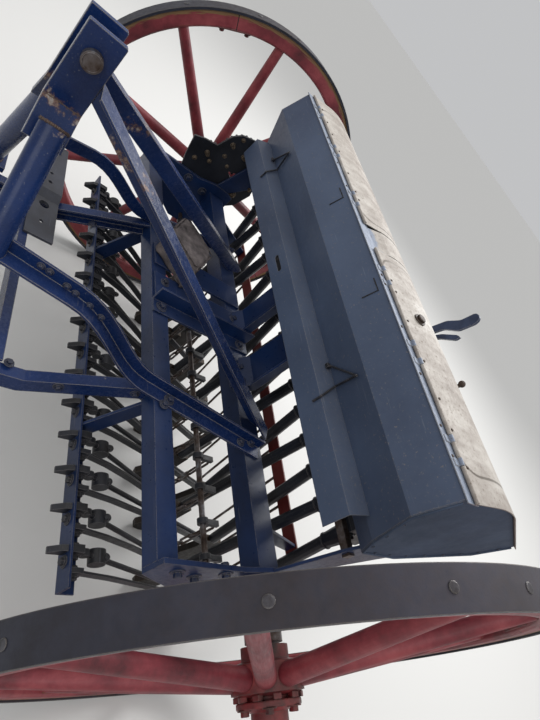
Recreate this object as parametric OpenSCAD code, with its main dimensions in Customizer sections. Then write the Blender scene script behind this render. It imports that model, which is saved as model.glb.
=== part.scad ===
// Mounted seed drill with two spoked wheels, a full-width grain box and fifteen trailing coulters.
// X runs to the machine's left, Y to its rear, Z up from the ground; heights are real heights.

/* [Rows] */
// Number of seed rows
row_count = 15; // [9:2:21]
// Distance between seed rows
row_pitch = 95; // [80:1:110]
// From the outer row to the outside of the side plate
end_space = 77; // [70:1:100]

/* [Wheels] */
// Radius over the iron tyre
wheel_r = 625; // [560:1:700]
// From a side plate to the middle of its wheel, at axle height
stub_l = 144; // [118:1:160]
// Lean of each wheel, top outwards
camber = 3.5; // [3:0.5:6]
// Width of the iron tyre
tyre_w = 64; // [50:1:90]
// Thickness of the iron tyre
tyre_t = 9; // [6:1:14]
// Depth of the wooden felloes
felloe_d = 52; // [40:1:70]
// Width of the wooden felloes
felloe_w = 54; // [40:1:60]
// Number of spokes
spoke_count = 10; // [8:1:14]
// Spoke diameter at the hub
spoke_root_d = 46; // [36:1:56]
// Spoke diameter at the felloe
spoke_tip_d = 36; // [28:1:44]
// How far the spokes stand outboard at the hub
dish = 52; // [20:1:60]
// Radius of the hub barrel
hub_r = 78; // [65:1:95]
// Length of the hub barrel
hub_l = 120; // [90:1:150]
// Length of the hub nose beyond the barrel
nose_l = 46; // [30:1:70]
// Radius of the hub nose
nose_r = 39; // [34:1:50]
// Radius of the stub axle
axle_r = 20; // [16:0.5:26]
// Radial running clearance in the hub
axle_clear = 0.3; // [0.1:0.1:0.6]

/* [Frame] */
// Height of both beams' top faces
frame_top = 657; // [640:1:680]
// Side of the square main beam
main_beam_s = 52; // [45:1:70]
// Main beam centre ahead of the axle
main_beam_y = -276; // [-300:1:-250]
// Side of the square axle beam
rear_beam_s = 64; // [56:1:80]
// Axle beam centre behind the axle
rear_beam_y = 20; // [10:1:30]
// Wall of both beams
beam_wall = 4; // [3:0.5:8]
// Thickness of the side plates
side_plate_t = 12; // [8:1:16]
// Height of the bent channels' web
swan_h = 35; // [30:1:45]
// Width of the bent channels' bottom flange
swan_w = 42; // [30:1:50]
// Rise of the bent channels over the frame
swan_rise = 106; // [80:1:120]
// Thickness of the angle irons and channels
iron_t = 6; // [4:0.5:8]

/* [Headstock] */
// Front edge of the clevis plates, ahead of the axle
mast_front = 785; // [740:1:840]
// Height of the clevis plates' top edge
mast_top = 1162; // [1100:1:1220]
// Height of the top link pin
top_pin_z = 1106; // [1050:1:1150]
// Diameter of the top link pin
top_pin_d = 25; // [19:0.5:32]
// Depth of a clevis plate, front to rear
clevis_d = 76; // [60:1:90]
// Thickness of a clevis plate
clevis_t = 12; // [8:1:16]
// Clear width between the clevis plates
clevis_gap = 56; // [52:1:70]
// Height of the lower hitch pins
lower_pin_z = 500; // [460:1:540]
// Diameter of the lower hitch pins
lower_pin_d = 28; // [22:0.5:36]
// Half of the distance between the lower pins' shoulders
lower_half = 412; // [380:1:435]
// Length of each lower hitch pin
lower_pin_l = 95; // [70:1:120]
// Diameter of the headstock legs
leg_d = 55; // [45:1:65]
// Wall of the headstock legs
leg_wall = 4; // [3:0.5:8]
// Length of a clevis plate's bent foot on its leg
foot_l = 84; // [60:1:110]

/* [Hopper] */
// How far the grain box reaches past a side plate
hopper_over = 8; // [2:1:16]
// Sheet thickness of the grain box
sheet = 2.5; // [1.5:0.5:4]
// Height of the grain box front rim
rim_z = 1176; // [1140:1:1220]
// Height of the grain box floor
floor_z = 893; // [860:1:920]
// Height of the grain box rear rim
rear_rim_z = 1072; // [1040:1:1110]
// Rear rim behind the axle
rear_rim_y = 470; // [430:1:500]
// Rise of the lid's crest above the hinge line
lid_rise = 20; // [10:1:40]
// Crest of the lid behind the hinge line
lid_crest = 132; // [100:1:170]
// Bend radius of the lid's crest
crest_r = 240; // [100:5:300]
// Sheet thickness of the lids
lid_t = 2.5; // [1.5:0.5:4]
// Half width of the fixed strap between the lids
strap_half = 48; // [30:1:60]
// Gap between a lid and the strap
lid_gap = 5; // [5:0.5:8]

/* [Coulters] */
// Coulter bar front face, ahead of the axle
bar_y = -376; // [-400:1:-350]
// Height of the coulter bar's top edge
bar_top = 450; // [430:1:470]
// Height of the coulter bar
bar_h = 55; // [40:1:65]
// Thickness of the coulter bar
bar_t = 6; // [5:0.5:10]
// Short coulters' boot behind the axle
short_y = 130; // [100:1:160]
// Long coulters' boot behind the axle
long_y = 250; // [220:1:280]
// Seed tube diameter
tube_d = 38; // [30:1:42]
// Diameter of a drag lever
lever_d = 14; // [10:1:18]
// Diameter of the lift shaft
lift_d = 16; // [14:1:28]
// Lift shaft ahead of the axle
lift_y = -40; // [-70:1:-20]
// Height of the lift shaft
lift_z = 500; // [480:1:520]

/* [Hidden] */
frame_half = (row_count - 1) / 2 * row_pitch + end_space;
track_half = frame_half + stub_l;
hopper_half = frame_half + hopper_over;
axle_y = (mast_front - wheel_r) / 2;
axle_z = wheel_r * cos(camber) + tyre_w / 2 * sin(camber);
side_x = frame_half - side_plate_t;
main_front = main_beam_y - main_beam_s / 2;
main_rear = main_beam_y + main_beam_s / 2;
rear_front = rear_beam_y - rear_beam_s / 2;
rear_back = rear_beam_y + rear_beam_s / 2;
rim_r = wheel_r - tyre_t;
hub_x = track_half + dish;
pin_clear = 0.3;
hinge_r = 5;
hinge_pin_r = 2.5;
lid_axis_y = 28;
lid_axis_z = rim_z + sheet + hinge_r;
tube_top_y = 150;
unit_h = 85;
unit_bottom = floor_z - unit_h;
mast_y = -mast_front + clevis_d / 2;
clevis_outer = clevis_gap / 2 + clevis_t;
top_pin_y = mast_y - 1;
navy = [0.13, 0.19, 0.36];
slate = [0.27, 0.31, 0.38];
zinc = [0.66, 0.64, 0.60];
red = [0.58, 0.20, 0.22];
black = [0.10, 0.10, 0.12];
steel = [0.55, 0.56, 0.58];
wood = [0.60, 0.22, 0.20];
stone = [0.38, 0.35, 0.31];

// Row positions and the fore and aft place of each boot
function row_x(i) = (i - (row_count - 1) / 2) * row_pitch;
function boot_y(i) = i % 2 == 0 ? long_y : short_y;

// Moves a piece drawn from the axle to the part's own origin
module place() {
    translate([0, axle_y, 0])
    children();
}

// A profile drawn in Y and Z, extruded along X from x0 to x1
module along_x(x0, x1) {
    translate([x0, 0, 0])
    rotate([90, 0, 90])
    linear_extrude(x1 - x0)
    children();
}

// A profile drawn in X and Z, extruded along Y from y0 to y1
module along_y(y0, y1) {
    translate([0, y1, 0])
    rotate([90, 0, 0])
    linear_extrude(y1 - y0)
    children();
}

// A point of a path, moved by t to the path's left
function unit(v) = v / norm(v);
function aside(path, k, t) =
    let (
        n = len(path),
        a = unit(k > 0 ? path[k] - path[k - 1] : path[1] - path[0]),
        b = unit(k < n - 1 ? path[k + 1] - path[k] : path[n - 1] - path[n - 2]),
        mid = [-a[1] - b[1], a[0] + b[0]]
    )
    path[k] + t * mid / (1 + a * b);

// A path given a thickness t on its left
module band(path, t) {
    polygon(concat(path, [for (k = [len(path) - 1 : -1 : 0]) aside(path, k, t)]));
}

// A round rod along X from x0 to x1, centred at y and z
module rod_x(x0, x1, y, z, d, sides = 48) {
    translate([x0, y, z])
    rotate([0, 90, 0])
    cylinder(d = d, h = x1 - x0, $fn = sides);
}

// A round bar between two points
module bar(a, b, d, sides = 24) {
    v = b - a;
    len = norm(v);
    translate(a)
    rotate([0, acos(v[2] / len), atan2(v[1], v[0])])
    cylinder(d = d, h = len, $fn = sides);
}

// The left wheel's own frame: X along its tilted axle, origin at the wheel centre
module wheel_frame(side) {
    place()
    translate([side * track_half, 0, axle_z])
    rotate([0, side * camber, 0])
    scale([side, 1, 1])
    children();
}

module turned(points, sides) {
    rotate([0, 90, 0])
    rotate_extrude($fn = sides)
    polygon(points);
}

module tyre() {
    turned([
        [rim_r, -tyre_w / 2], [wheel_r, -tyre_w / 2],
        [wheel_r, tyre_w / 2], [rim_r, tyre_w / 2]
    ], 96);
}

module rim() {
    turned([
        [rim_r - felloe_d, -felloe_w / 2 + 6], [rim_r - felloe_d + 6, -felloe_w / 2],
        [rim_r, -felloe_w / 2], [rim_r, felloe_w / 2],
        [rim_r - felloe_d + 6, felloe_w / 2], [rim_r - felloe_d, felloe_w / 2 - 6]
    ], 96);
    for (i = [0 : spoke_count - 1]) {
        rotate([i * 360 / spoke_count + 11, 0, 0])
        spoke();
    }
}

// A spoke leans from the hub's outboard flange to the middle of the felloe
module spoke() {
    root = hub_r - 6;
    tip = rim_r - felloe_d + 8;
    lean = atan(dish / (tip - root));
    difference() {
        translate([dish, 0, root])
        rotate([0, -lean, 0])
        cylinder(d1 = spoke_root_d, d2 = spoke_tip_d, h = (tip - root) / cos(lean), $fn = 16);
        translate([dish - hub_l / 2, 0, 0])
        rotate([0, 90, 0])
        cylinder(r = hub_r, h = hub_l, $fn = 48);
    }
}

module hub() {
    neck = hub_r - 26;
    collar = spoke_root_d / 2 + 4;
    difference() {
        translate([dish, 0, 0])
        turned([
            [0, -hub_l / 2], [neck, -hub_l / 2], [neck, -collar - 6],
            [hub_r, -collar], [hub_r, collar],
            [neck, collar + 6], [neck, hub_l / 2 - 8],
            [nose_r, hub_l / 2], [nose_r, hub_l / 2 + nose_l - 8],
            [nose_r - 10, hub_l / 2 + nose_l], [0, hub_l / 2 + nose_l]
        ], 48);
        rod_x(dish - hub_l, dish + hub_l / 2 + 20, 0, 0, 2 * (axle_r + axle_clear));
    }
}

module tyre_left() { color(black) wheel_frame(1) tyre(); }
module tyre_right() { color(black) wheel_frame(-1) tyre(); }
module rim_left() { color(wood) wheel_frame(1) rim(); }
module rim_right() { color(wood) wheel_frame(-1) rim(); }
module hub_left() { color(red) wheel_frame(1) hub(); }
module hub_right() { color(red) wheel_frame(-1) hub(); }

// Stub axle with its collar, welded to the side plate
module stub_axles() {
    color(steel)
    for (side = [-1, 1]) {
        wheel_frame(side)
        stub_axle();
    }
}

collar_t = 22;

module stub_axle() {
    root = -stub_l - 20;
    difference() {
        union() {
            rod_x(root, dish + hub_l / 2 + 12, 0, 0, 2 * axle_r);
            rod_x(root, dish - hub_l / 2 - 6, 0, 0, 2 * (axle_r + collar_t));
        }
        rotate([0, -camber, 0])
        translate([-stub_l - 100, -100, -100])
        cube([100, 200, 200]);
    }
}

module beam(y, s) {
    place()
    translate([0, y - s / 2, frame_top - s])
    difference() {
        translate([-side_x, 0, 0])
        cube([2 * side_x, s, s]);
        translate([-side_x - 1, beam_wall, beam_wall])
        cube([2 * side_x + 2, s - 2 * beam_wall, s - 2 * beam_wall]);
    }
}

module main_beam() { color(navy) beam(main_beam_y, main_beam_s); }
module rear_beam() { color(navy) beam(rear_beam_y, rear_beam_s); }

// Angle iron from beam to beam, upright leg on its right
angle_x = 15;
angle_w = 50;

module centre_angle() {
    color(navy)
    place()
    along_y(main_front, rear_back)
    translate([angle_x, frame_top])
    band([[0, angle_w], [0, 0], [angle_w, 0]], iron_t);
}

// Side plates close the beam ends and carry the stub axles and the lift shaft
module side_plates() {
    low = lift_z - lift_d - 14;
    high = frame_top + 22;
    color(navy)
    place()
    for (x0 = [-frame_half, side_x]) {
        along_x(x0, x0 + side_plate_t)
        polygon([
            [main_front, high], [main_front, frame_top - main_beam_s], [lift_y - 40, low],
            [lift_y + 40, low], [rear_back + 24, frame_top - rear_beam_s], [rear_back + 24, frame_top + 30],
            [rear_back, frame_top + 40], [rear_front, frame_top + 40], [lift_y - 40, high]
        ]);
    }
}

// The legs' centre line, in X and Z, and how far it leans
leg_top_x = clevis_outer + leg_d / 2;
leg_top_z = 1010;
leg_foot_x = lower_half - 26;
leg_foot_z = lower_pin_z + 46;
leg_end_z = leg_foot_z - 30;
leg_lean = atan((leg_foot_x - leg_top_x) / (leg_top_z - leg_end_z));
function leg_x(z) = leg_top_x + (leg_top_z - z) * tan(leg_lean);

// The clevis plates bend outwards where they meet the legs' inner side
bend_z = leg_top_z - (clevis_outer - leg_top_x + leg_d / 2 / cos(leg_lean)) / tan(leg_lean);

module clevis_outline() {
    inner = clevis_gap / 2;
    drop = [sin(leg_lean), -cos(leg_lean)];
    knee = clevis_t * tan(leg_lean / 2);
    polygon([
        [inner, mast_top], [clevis_outer, mast_top], [clevis_outer, bend_z],
        [clevis_outer, bend_z] + foot_l * drop,
        [clevis_outer, bend_z] + foot_l * drop - clevis_t * [cos(leg_lean), sin(leg_lean)],
        [inner, bend_z - knee]
    ]);
}

module clevis_side() {
    nose = 3;
    polygon([
        [-mast_front, mast_top - nose / 2], [-mast_front + nose / 2, mast_top],
        [-mast_front + clevis_d - nose, mast_top], [-mast_front + clevis_d, mast_top - nose],
        [-mast_front + clevis_d, bend_z - foot_l], [-mast_front, bend_z - foot_l]
    ]);
}

// Two flat plates with the top link pin hole, bent out below along the legs
module clevis_plates() {
    color(navy)
    place()
    for (side = [-1, 1]) {
        scale([side, 1, 1])
        difference() {
            intersection() {
                along_y(-mast_front, -mast_front + clevis_d)
                clevis_outline();
                along_x(0, clevis_outer + foot_l)
                clevis_side();
            }
            rod_x(clevis_gap / 2 - 1, clevis_outer + 1, top_pin_y, top_pin_z, top_pin_d + 2 * pin_clear);
        }
    }
}

// Top link pin with its large head on the left and a split pin hole on the right
module top_link_pin() {
    tail = 18;
    color(steel)
    place()
    difference() {
        union() {
            rod_x(-clevis_outer - tail, clevis_outer, top_pin_y, top_pin_z, top_pin_d);
            rod_x(clevis_outer, clevis_outer + 12, top_pin_y, top_pin_z, top_pin_d * 1.6);
        }
        translate([-clevis_outer - tail / 2, top_pin_y, top_pin_z - top_pin_d])
        cylinder(d = 5, h = 2 * top_pin_d, $fn = 24);
    }
}

module leg_bar(d) {
    bar([leg_top_x, mast_y, leg_top_z], [leg_foot_x, mast_y, leg_end_z], d, 48);
}

// Tube legs splay from the clevis plates to the lower hitch feet
module mast_legs() {
    skip = 36;
    foot_d = 80;
    color(navy)
    place()
    for (side = [-1, 1]) {
        scale([side, 1, 1]) {
            difference() {
                leg_bar(leg_d);
                leg_bar(leg_d - 2 * leg_wall);
                translate([leg_top_x, mast_y, leg_top_z])
                rotate([0, 180 - leg_lean, 0])
                translate([-leg_d, -leg_d, -leg_d])
                cube([2 * leg_d, 2 * leg_d, leg_d + skip]);
                translate([leg_foot_x - leg_d, mast_y - leg_d, leg_foot_z - leg_d])
                cube([3 * leg_d, 2 * leg_d, leg_d]);
            }
            translate([lower_half - 84, mast_y - foot_d / 2, leg_foot_z - 16])
            cube([84, foot_d, 16]);
            translate([lower_half - 16, mast_y - foot_d / 2, lower_pin_z - 45])
            cube([16, foot_d, 75]);
        }
    }
}

// Angle irons from the clevis plates back to the axle beam
brace_end_x = 326;
brace_w = 40;
brace_h = 44;

module mast_braces() {
    color(navy)
    place()
    for (side = [-1, 1]) {
        brace(side);
    }
}

module brace(side) {
    head = [side * (clevis_outer + 4), -mast_front + clevis_d - 30, top_pin_z - 34];
    tail = [side * brace_end_x, rear_beam_y - 5, frame_top + 23];
    run = tail - head;
    v = run * (norm(run) + 60) / norm(run);
    difference() {
        translate(head)
        rotate([0, acos(v[2] / norm(v)), atan2(v[1], v[0])])
        difference() {
            translate([-brace_w / 2, -brace_h / 2, 0])
            cube([brace_w, brace_h, norm(v)]);
            translate([-brace_w / 2 + iron_t, side > 0 ? -brace_h / 2 - iron_t : -brace_h / 2 + iron_t, -1])
            cube([brace_w, brace_h, norm(v) + 2]);
        }
        translate([-500, -mast_front - 100, frame_top])
        cube([1000, 100 + clevis_d, 1000]);
        translate([-500, rear_front - 300, frame_top - 300])
        cube([1000, 600, 300]);
    }
}

// Swan-necked angles run from the legs down onto both beams
swan_tail_x = 386;
swan_steps = 10;
swan_bend = [-575, -325];
swan_front_z = frame_top + swan_rise;
swan_root_x = leg_x(swan_front_z + swan_h / 2) - 10;
swan_splay = atan((swan_tail_x - swan_root_x) / (rear_beam_y - mast_y));
function swan_u(y) = (y - mast_y) / cos(swan_splay);
function swan_z(t) = frame_top + swan_rise * (1 + cos(180 * t)) / 2;
swan_line = concat(
    [[0, swan_front_z]],
    [
        for (k = [0 : swan_steps])
            let (t = k / swan_steps)
            [swan_u(swan_bend[0] + (swan_bend[1] - swan_bend[0]) * t), swan_z(t)]
    ],
    [[swan_u(rear_back - 12), frame_top]]
);

module curved_channels() {
    color(navy)
    place()
    for (side = [-1, 1]) {
        scale([side, 1, 1])
        difference() {
            translate([swan_root_x, mast_y, 0])
            rotate([0, 0, -swan_splay]) {
                along_x(0, swan_w)
                band(swan_line, iron_t);
                along_x(0, iron_t)
                band(swan_line, swan_h);
            }
            leg_bar(leg_d);
            translate([0, mast_y - 100, frame_top])
            cube([1000, 100, swan_rise + 2 * swan_h]);
        }
    }
}

// Lower front frame
front_bar_y = -630;
front_bar_z = 510;
side_bar_x = 310;
side_bar_w = 30;
side_bar_h = 46;

module front_cross_bar() {
    half = side_bar_x - side_bar_w / 2;
    color(navy)
    place()
    along_x(-half, half)
    translate([front_bar_y - 8, front_bar_z + 30])
    band([[0, -40], [0, 0], [24, 0]], -iron_t);
}

// Edge of a lower side bar from the main beam to the hitch foot, inset all round by t
module side_bar_outline(t, past) {
    polygon([
        [main_front + past, frame_top - 2 - t], [main_front + past, frame_top - 2 - side_bar_h + t],
        [-560, front_bar_z - side_bar_h / 2 + t], [-mast_front + 10 - past, lower_pin_z - side_bar_h / 2 + t],
        [-mast_front + 10 - past, lower_pin_z + side_bar_h / 2 - t], [-560, front_bar_z + side_bar_h / 2 - t]
    ]);
}

module front_side_bars() {
    link_x = side_bar_x + side_bar_w / 2;
    color(navy)
    place()
    for (side = [-1, 1]) {
        scale([side, 1, 1]) {
            difference() {
                along_x(side_bar_x - side_bar_w / 2, link_x)
                side_bar_outline(0, 0);
                along_x(side_bar_x - side_bar_w / 2 - 1, link_x - iron_t)
                side_bar_outline(iron_t, 1);
            }
            translate([link_x, mast_y - 20, lower_pin_z - 20])
            cube([lower_half - 16 - link_x, 40, 40]);
        }
    }
}

// Grey joggled plate on the front cross bar, with one large and three small holes
plate_z = front_bar_z + 30;
plate_t = 8;
plate_y = [front_bar_y + 2, front_bar_y + 82];
joggle = 18;
// Columns: x of a bend, height there
plate_line = [[-560, joggle], [-325, joggle], [-300, 0], [-130, 0]];
// Columns: x of a hole, diameter
plate_holes = [[-403, 11], [-359, 13], [-272, 30], [-197, 13]];

module drawbar_plate() {
    color(stone)
    place()
    difference() {
        along_y(plate_y[0], plate_y[1])
        translate([0, plate_z])
        band(plate_line, plate_t);
        for (hole = plate_holes) {
            translate([hole[0], (plate_y[0] + plate_y[1]) / 2, plate_z - 1])
            cylinder(d = hole[1], h = joggle + plate_t + 2, $fn = 32);
        }
    }
}

module lower_hitch_pins() {
    color(steel)
    place()
    for (x0 = [-lower_half - lower_pin_l, lower_half]) {
        rod_x(x0, x0 + lower_pin_l, mast_y, lower_pin_z, lower_pin_d);
    }
}

// Coulter bar is an angle iron with its leg to the rear
bar_half = frame_half - 12;
bar_leg = 40;

module coulter_bar() {
    color(navy)
    place()
    along_x(-bar_half, bar_half)
    translate([bar_y, bar_top])
    band([[0, 0], [0, -bar_h], [bar_leg, -bar_h]], bar_t);
}

module bar_hangers() {
    t = 8;
    mid_row = 3.5 * row_pitch;
    color(navy)
    place()
    for (x0 = [-mid_row - t / 2, mid_row - t / 2]) {
        along_x(x0, x0 + t)
        polygon([
            [main_front + 2, frame_top - main_beam_s], [main_rear - 2, frame_top - main_beam_s],
            [bar_y + bar_leg, bar_top - bar_h + bar_t], [bar_y + bar_t, bar_top - bar_h + bar_t],
            [bar_y + bar_t, bar_top - 5]
        ]);
    }
}

// Each row hangs on a round lever and a flat one, which close up towards its boot
round_x = [-20, -9];
flat_x = [27, 8];
flat_t = 6;
flat_w = 20;
flat_bow = 16;
lever_y0 = bar_y + bar_leg - 4;
lever_z0 = bar_top - 26;
lever_z1 = 190;
boot_front = -28;
function lever_run(i) = boot_y(i) + boot_front - lever_y0;
function lever_at(i, y) = lever_z0 - (y - lever_y0) * (lever_z0 - lever_z1) / lever_run(i);
function round_at(i, y) = row_x(i) + round_x[0] + (y - lever_y0) * (round_x[1] - round_x[0]) / lever_run(i);

// Clamps on the coulter bar: an ear behind for each lever, and a bolt end in front
// Columns: ear's place from the middle of its row, width
ears = [[round_x[0], 18], [flat_x[0], 12]];

module lever_brackets() {
    color(black)
    place()
    for (i = [0 : row_count - 1]) {
        along_x(row_x(i) + round_x[0] - 7, row_x(i) + round_x[0] + 7)
        polygon([
            [bar_y, bar_top - 8], [bar_y - 14, bar_top - 12], [bar_y - 38, bar_top - 34],
            [bar_y - 36, bar_top - 42], [bar_y, bar_top - 40]
        ]);
        for (ear = ears) {
            along_x(row_x(i) + ear[0] - ear[1] / 2, row_x(i) + ear[0] + ear[1] / 2)
            polygon([
                [bar_y + bar_t, bar_top - 4], [lever_y0, bar_top - 4],
                [lever_y0, bar_top - bar_h + bar_t], [bar_y + bar_t, bar_top - bar_h + bar_t]
            ]);
        }
    }
}

// Round levers carry two pressure weights; flat ones bow upwards on their way to the boots
module coulter_levers() {
    // Columns: a weight's distance behind the ear, diameter, half width
    weights = [[13, 24, 8], [54, 42, 17]];
    color(black)
    place()
    for (i = [0 : row_count - 1]) {
        difference() {
            union() {
                bar(
                    [round_at(i, lever_y0 - 20), lever_y0 - 20, lever_at(i, lever_y0 - 20)],
                    [round_at(i, boot_y(i)), boot_y(i), lever_at(i, boot_y(i))],
                    lever_d, 8
                );
                flat_lever(i);
            }
            translate([row_x(i) - 60, lever_y0 - 100, lever_z0 - 100])
            cube([120, 100, 200]);
            translate([row_x(i) - 60, boot_y(i) + boot_front, lever_z1 - 100])
            cube([120, 100, 200]);
        }
        for (w = weights) {
            y = lever_y0 + w[0];
            rod_x(round_at(i, y) - w[2], round_at(i, y) + w[2], y, lever_at(i, y), w[1], 16);
        }
    }
}

module flat_lever(i) {
    run = lever_run(i);
    fall = (lever_z0 - lever_z1) / run;
    skew = atan((flat_x[0] - flat_x[1]) / run);
    translate([row_x(i) + flat_x[0], lever_y0, lever_z0 - flat_w / 2])
    rotate([0, 0, skew])
    along_x(-flat_t / 2, flat_t / 2)
    band([
        [-20, 20 * fall], [0.16 * run, -0.16 * run * fall + 0.8 * flat_bow],
        [0.4 * run, -0.4 * run * fall + flat_bow], [0.7 * run, -0.7 * run * fall + 0.7 * flat_bow],
        [run + 30, -(run + 30) * fall]
    ], flat_w);
}

// Drag boots: a curved knife in front of a seed spout
module coulter_boots() {
    half = 11;
    color(black)
    place()
    for (i = [0 : row_count - 1]) {
        translate([0, boot_y(i), 0])
        along_x(row_x(i) - half, row_x(i) + half)
        polygon([
            [boot_front, 215], [boot_front, 150], [-44, 90], [-70, 40], [-60, 12], [-30, 0],
            [20, 0], [34, 60], [34, 215]
        ]);
    }
}

module lift_shaft() {
    color(steel)
    place()
    rod_x(-side_x, side_x, lift_y, lift_z, lift_d, 24);
}

// Fingers that lift the round levers by their chains
finger_l = 52;
finger_h = 12;
chain_y = lift_y + finger_l - 6;

module lift_arms() {
    color(black)
    place()
    for (i = [0 : row_count - 1]) {
        translate([round_at(i, chain_y) - 8, lift_y, lift_z])
        difference() {
            union() {
                rod_x(0, 16, 0, 0, lift_d + 14, 16);
                translate([0, lift_d / 2, -finger_h / 2])
                cube([16, finger_l - lift_d / 2, finger_h]);
            }
            rod_x(-1, 17, 0, 0, lift_d, 24);
        }
    }
}

// Chains of long links, each turned a quarter to the one above
link_bar = 5;
link_half = 9;
link_count = 5;

module lift_chains() {
    color(steel)
    place()
    for (i = [0 : row_count - 1]) {
        low = lever_at(i, chain_y) + lever_d / 2 + 2.3;
        top = lift_z - finger_h / 2;
        step = (top - low - 2 * link_bar) / link_count;
        translate([round_at(i, chain_y), chain_y, low])
        for (k = [0 : link_count - 1]) {
            translate([0, 0, link_bar + (k + 0.5) * step])
            rotate([0, 0, 90 * (k % 2)])
            chain_link(step / 2 + link_bar - 0.2);
        }
    }
}

// A flat-sided link standing on Z, half its length given
module chain_link(half) {
    along_y(-link_bar / 2, link_bar / 2)
    difference() {
        polygon([
            [-link_half, -half + 6], [-link_half + 5, -half], [link_half - 5, -half], [link_half, -half + 6],
            [link_half, half - 6], [link_half - 5, half], [-link_half + 5, half], [-link_half, half - 6]
        ]);
        square([2 * (link_half - link_bar), 2 * (half - link_bar)], center = true);
    }
}

// Outline of the grain box in Y and Z, below its rim
front_y = 5;
fold = [-28, 1075];
foot_front = [22, 950];
floor_y = [60, 185];
back_foot = [400, 990];
hopper_profile = [
    [front_y, rim_z], fold, foot_front, [floor_y[0], floor_z], [floor_y[1], floor_z],
    back_foot, [rear_rim_y, rear_rim_z]
];
function front_wall_y(z) =
    foot_front[0] + (z - foot_front[1]) * (fold[0] - foot_front[0]) / (fold[1] - foot_front[1]);
function bottom_z(y) = floor_z + (y - floor_y[1]) * (back_foot[1] - floor_z) / (back_foot[0] - floor_y[1]);
function back_wall_y(z) =
    back_foot[0] + (z - back_foot[1]) * (rear_rim_y - back_foot[0]) / (rear_rim_z - back_foot[1]);

// Underside of a lid: a straight front, a round crest and a straight back
lid_y0 = lid_axis_y + hinge_r + 1;
lid_z0 = lid_axis_z - hinge_pin_r;
lid_seat = 0.3;
lid_over = 6;
crest = [lid_axis_y + lid_crest, lid_z0 + lid_rise];
rear_edge = [rear_rim_y, rear_rim_z + sheet];
front_dir = atan2(crest[1] - lid_z0, crest[0] - lid_y0);
rear_dir = atan2(rear_edge[1] - crest[1], rear_edge[0] - crest[0]);
crest_turn = front_dir - rear_dir;
crest_start = crest - crest_r * tan(crest_turn / 2) * [cos(front_dir), sin(front_dir)];
crest_c = crest_start + crest_r * [sin(front_dir), -cos(front_dir)];
crest_n = 8;
lid_line = concat(
    [[lid_y0, lid_z0]],
    [
        for (k = [0 : crest_n])
            let (a = 90 + front_dir - crest_turn * k / crest_n)
            crest_c + crest_r * [cos(a), sin(a)]
    ],
    [rear_edge + lid_over * [cos(rear_dir), sin(rear_dir)]]
);
function lid_front_z(y) = lid_z0 + (y - lid_y0) * tan(front_dir);

// The front strip reaches under the lids' front edges
strip_rear = lid_axis_y + 16;
strip_line = [[front_y - 4, rim_z], [strip_rear, rim_z]];

module hopper_outline() {
    seat_y = strip_rear + 1;
    polygon(concat(
        hopper_profile,
        [rear_edge - [0, lid_seat]],
        [for (k = [crest_n + 1 : -1 : 1]) aside(lid_line, k, -lid_seat)],
        [[seat_y, lid_front_z(seat_y) - lid_seat], [seat_y, rim_z]]
    ));
}

module hopper_shell() {
    color(slate)
    place()
    along_x(-hopper_half + sheet, hopper_half - sheet)
    band(hopper_profile, sheet);
}

module hopper_ends() {
    color(slate)
    place()
    for (x0 = [-hopper_half, hopper_half - sheet]) {
        along_x(x0, x0 + sheet)
        hopper_outline();
    }
}

// Hinge places along each lid, and the half width of a lid's own knuckle
hinge_inset = 110;
knuckle_half = 17;
lid_end = hopper_half + lid_over;
hinge_at = [
    strap_half + hinge_inset, (strap_half + lid_end) / 2, lid_end - hinge_inset
];

// Fixed front strip and middle strap in one, with the hinges' outer knuckles and pins
module lid_strap() {
    lowered = [for (k = [1 : crest_n + 2]) lid_line[k] - [0, lid_seat]];
    color(zinc)
    place() {
        along_x(-lid_end, lid_end)
        band(strip_line, lid_t);
        along_x(-strap_half, strap_half)
        band(concat(strip_line, lowered), lid_t);
        for (side = [-1, 1]) {
            for (x = hinge_at) {
                fixed_hinge(side * x);
            }
        }
    }
}

module fixed_hinge(x) {
    w = 16;
    gap = 0.5;
    top = rim_z + lid_t;
    rod_x(x - knuckle_half - w, x + knuckle_half + w, lid_axis_y, lid_axis_z, 2 * hinge_pin_r, 24);
    for (x0 = [x - knuckle_half - gap - w, x + knuckle_half + gap]) {
        rod_x(x0, x0 + w, lid_axis_y, lid_axis_z, 2 * hinge_r, 24);
        along_x(x0, x0 + w)
        translate([lid_axis_y - 20, top])
        square([20, 2]);
    }
}

// A lid with its own knuckles and rolled edge in front, and a knob at the rear of the left one
module lid(side) {
    knob_x = 288;
    knob_y = rear_rim_y - 8;
    scale([side, 1, 1]) {
        along_x(strap_half + lid_gap, lid_end)
        band(lid_line, lid_t);
        for (x = hinge_at) {
            lid_knuckle(x);
        }
        for (k = [0 : len(hinge_at)]) {
            lid_bead(
                k == 0 ? strap_half + lid_gap : hinge_at[k - 1] + knuckle_half + 18,
                k == len(hinge_at) ? lid_end : hinge_at[k] - knuckle_half - 18
            );
        }
        if (side > 0) {
            translate([knob_x, knob_y, rear_rim_z + 4])
            cylinder(d = 9, h = 42, $fn = 24);
            translate([knob_x, knob_y, rear_rim_z + 50])
            sphere(d = 20, $fn = 24);
        }
    }
}

// The lid's front edge rolled round the hinge line, clear of the strip below
module lid_bead(x0, x1) {
    rod_x(x0, x1, lid_axis_y, lid_axis_z, 2 * hinge_r - 1, 24);
    along_x(x0, x1)
    band([[lid_axis_y, lid_z0], lid_line[0], [lid_y0 + 20, lid_front_z(lid_y0 + 20)]], lid_t);
}

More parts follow.
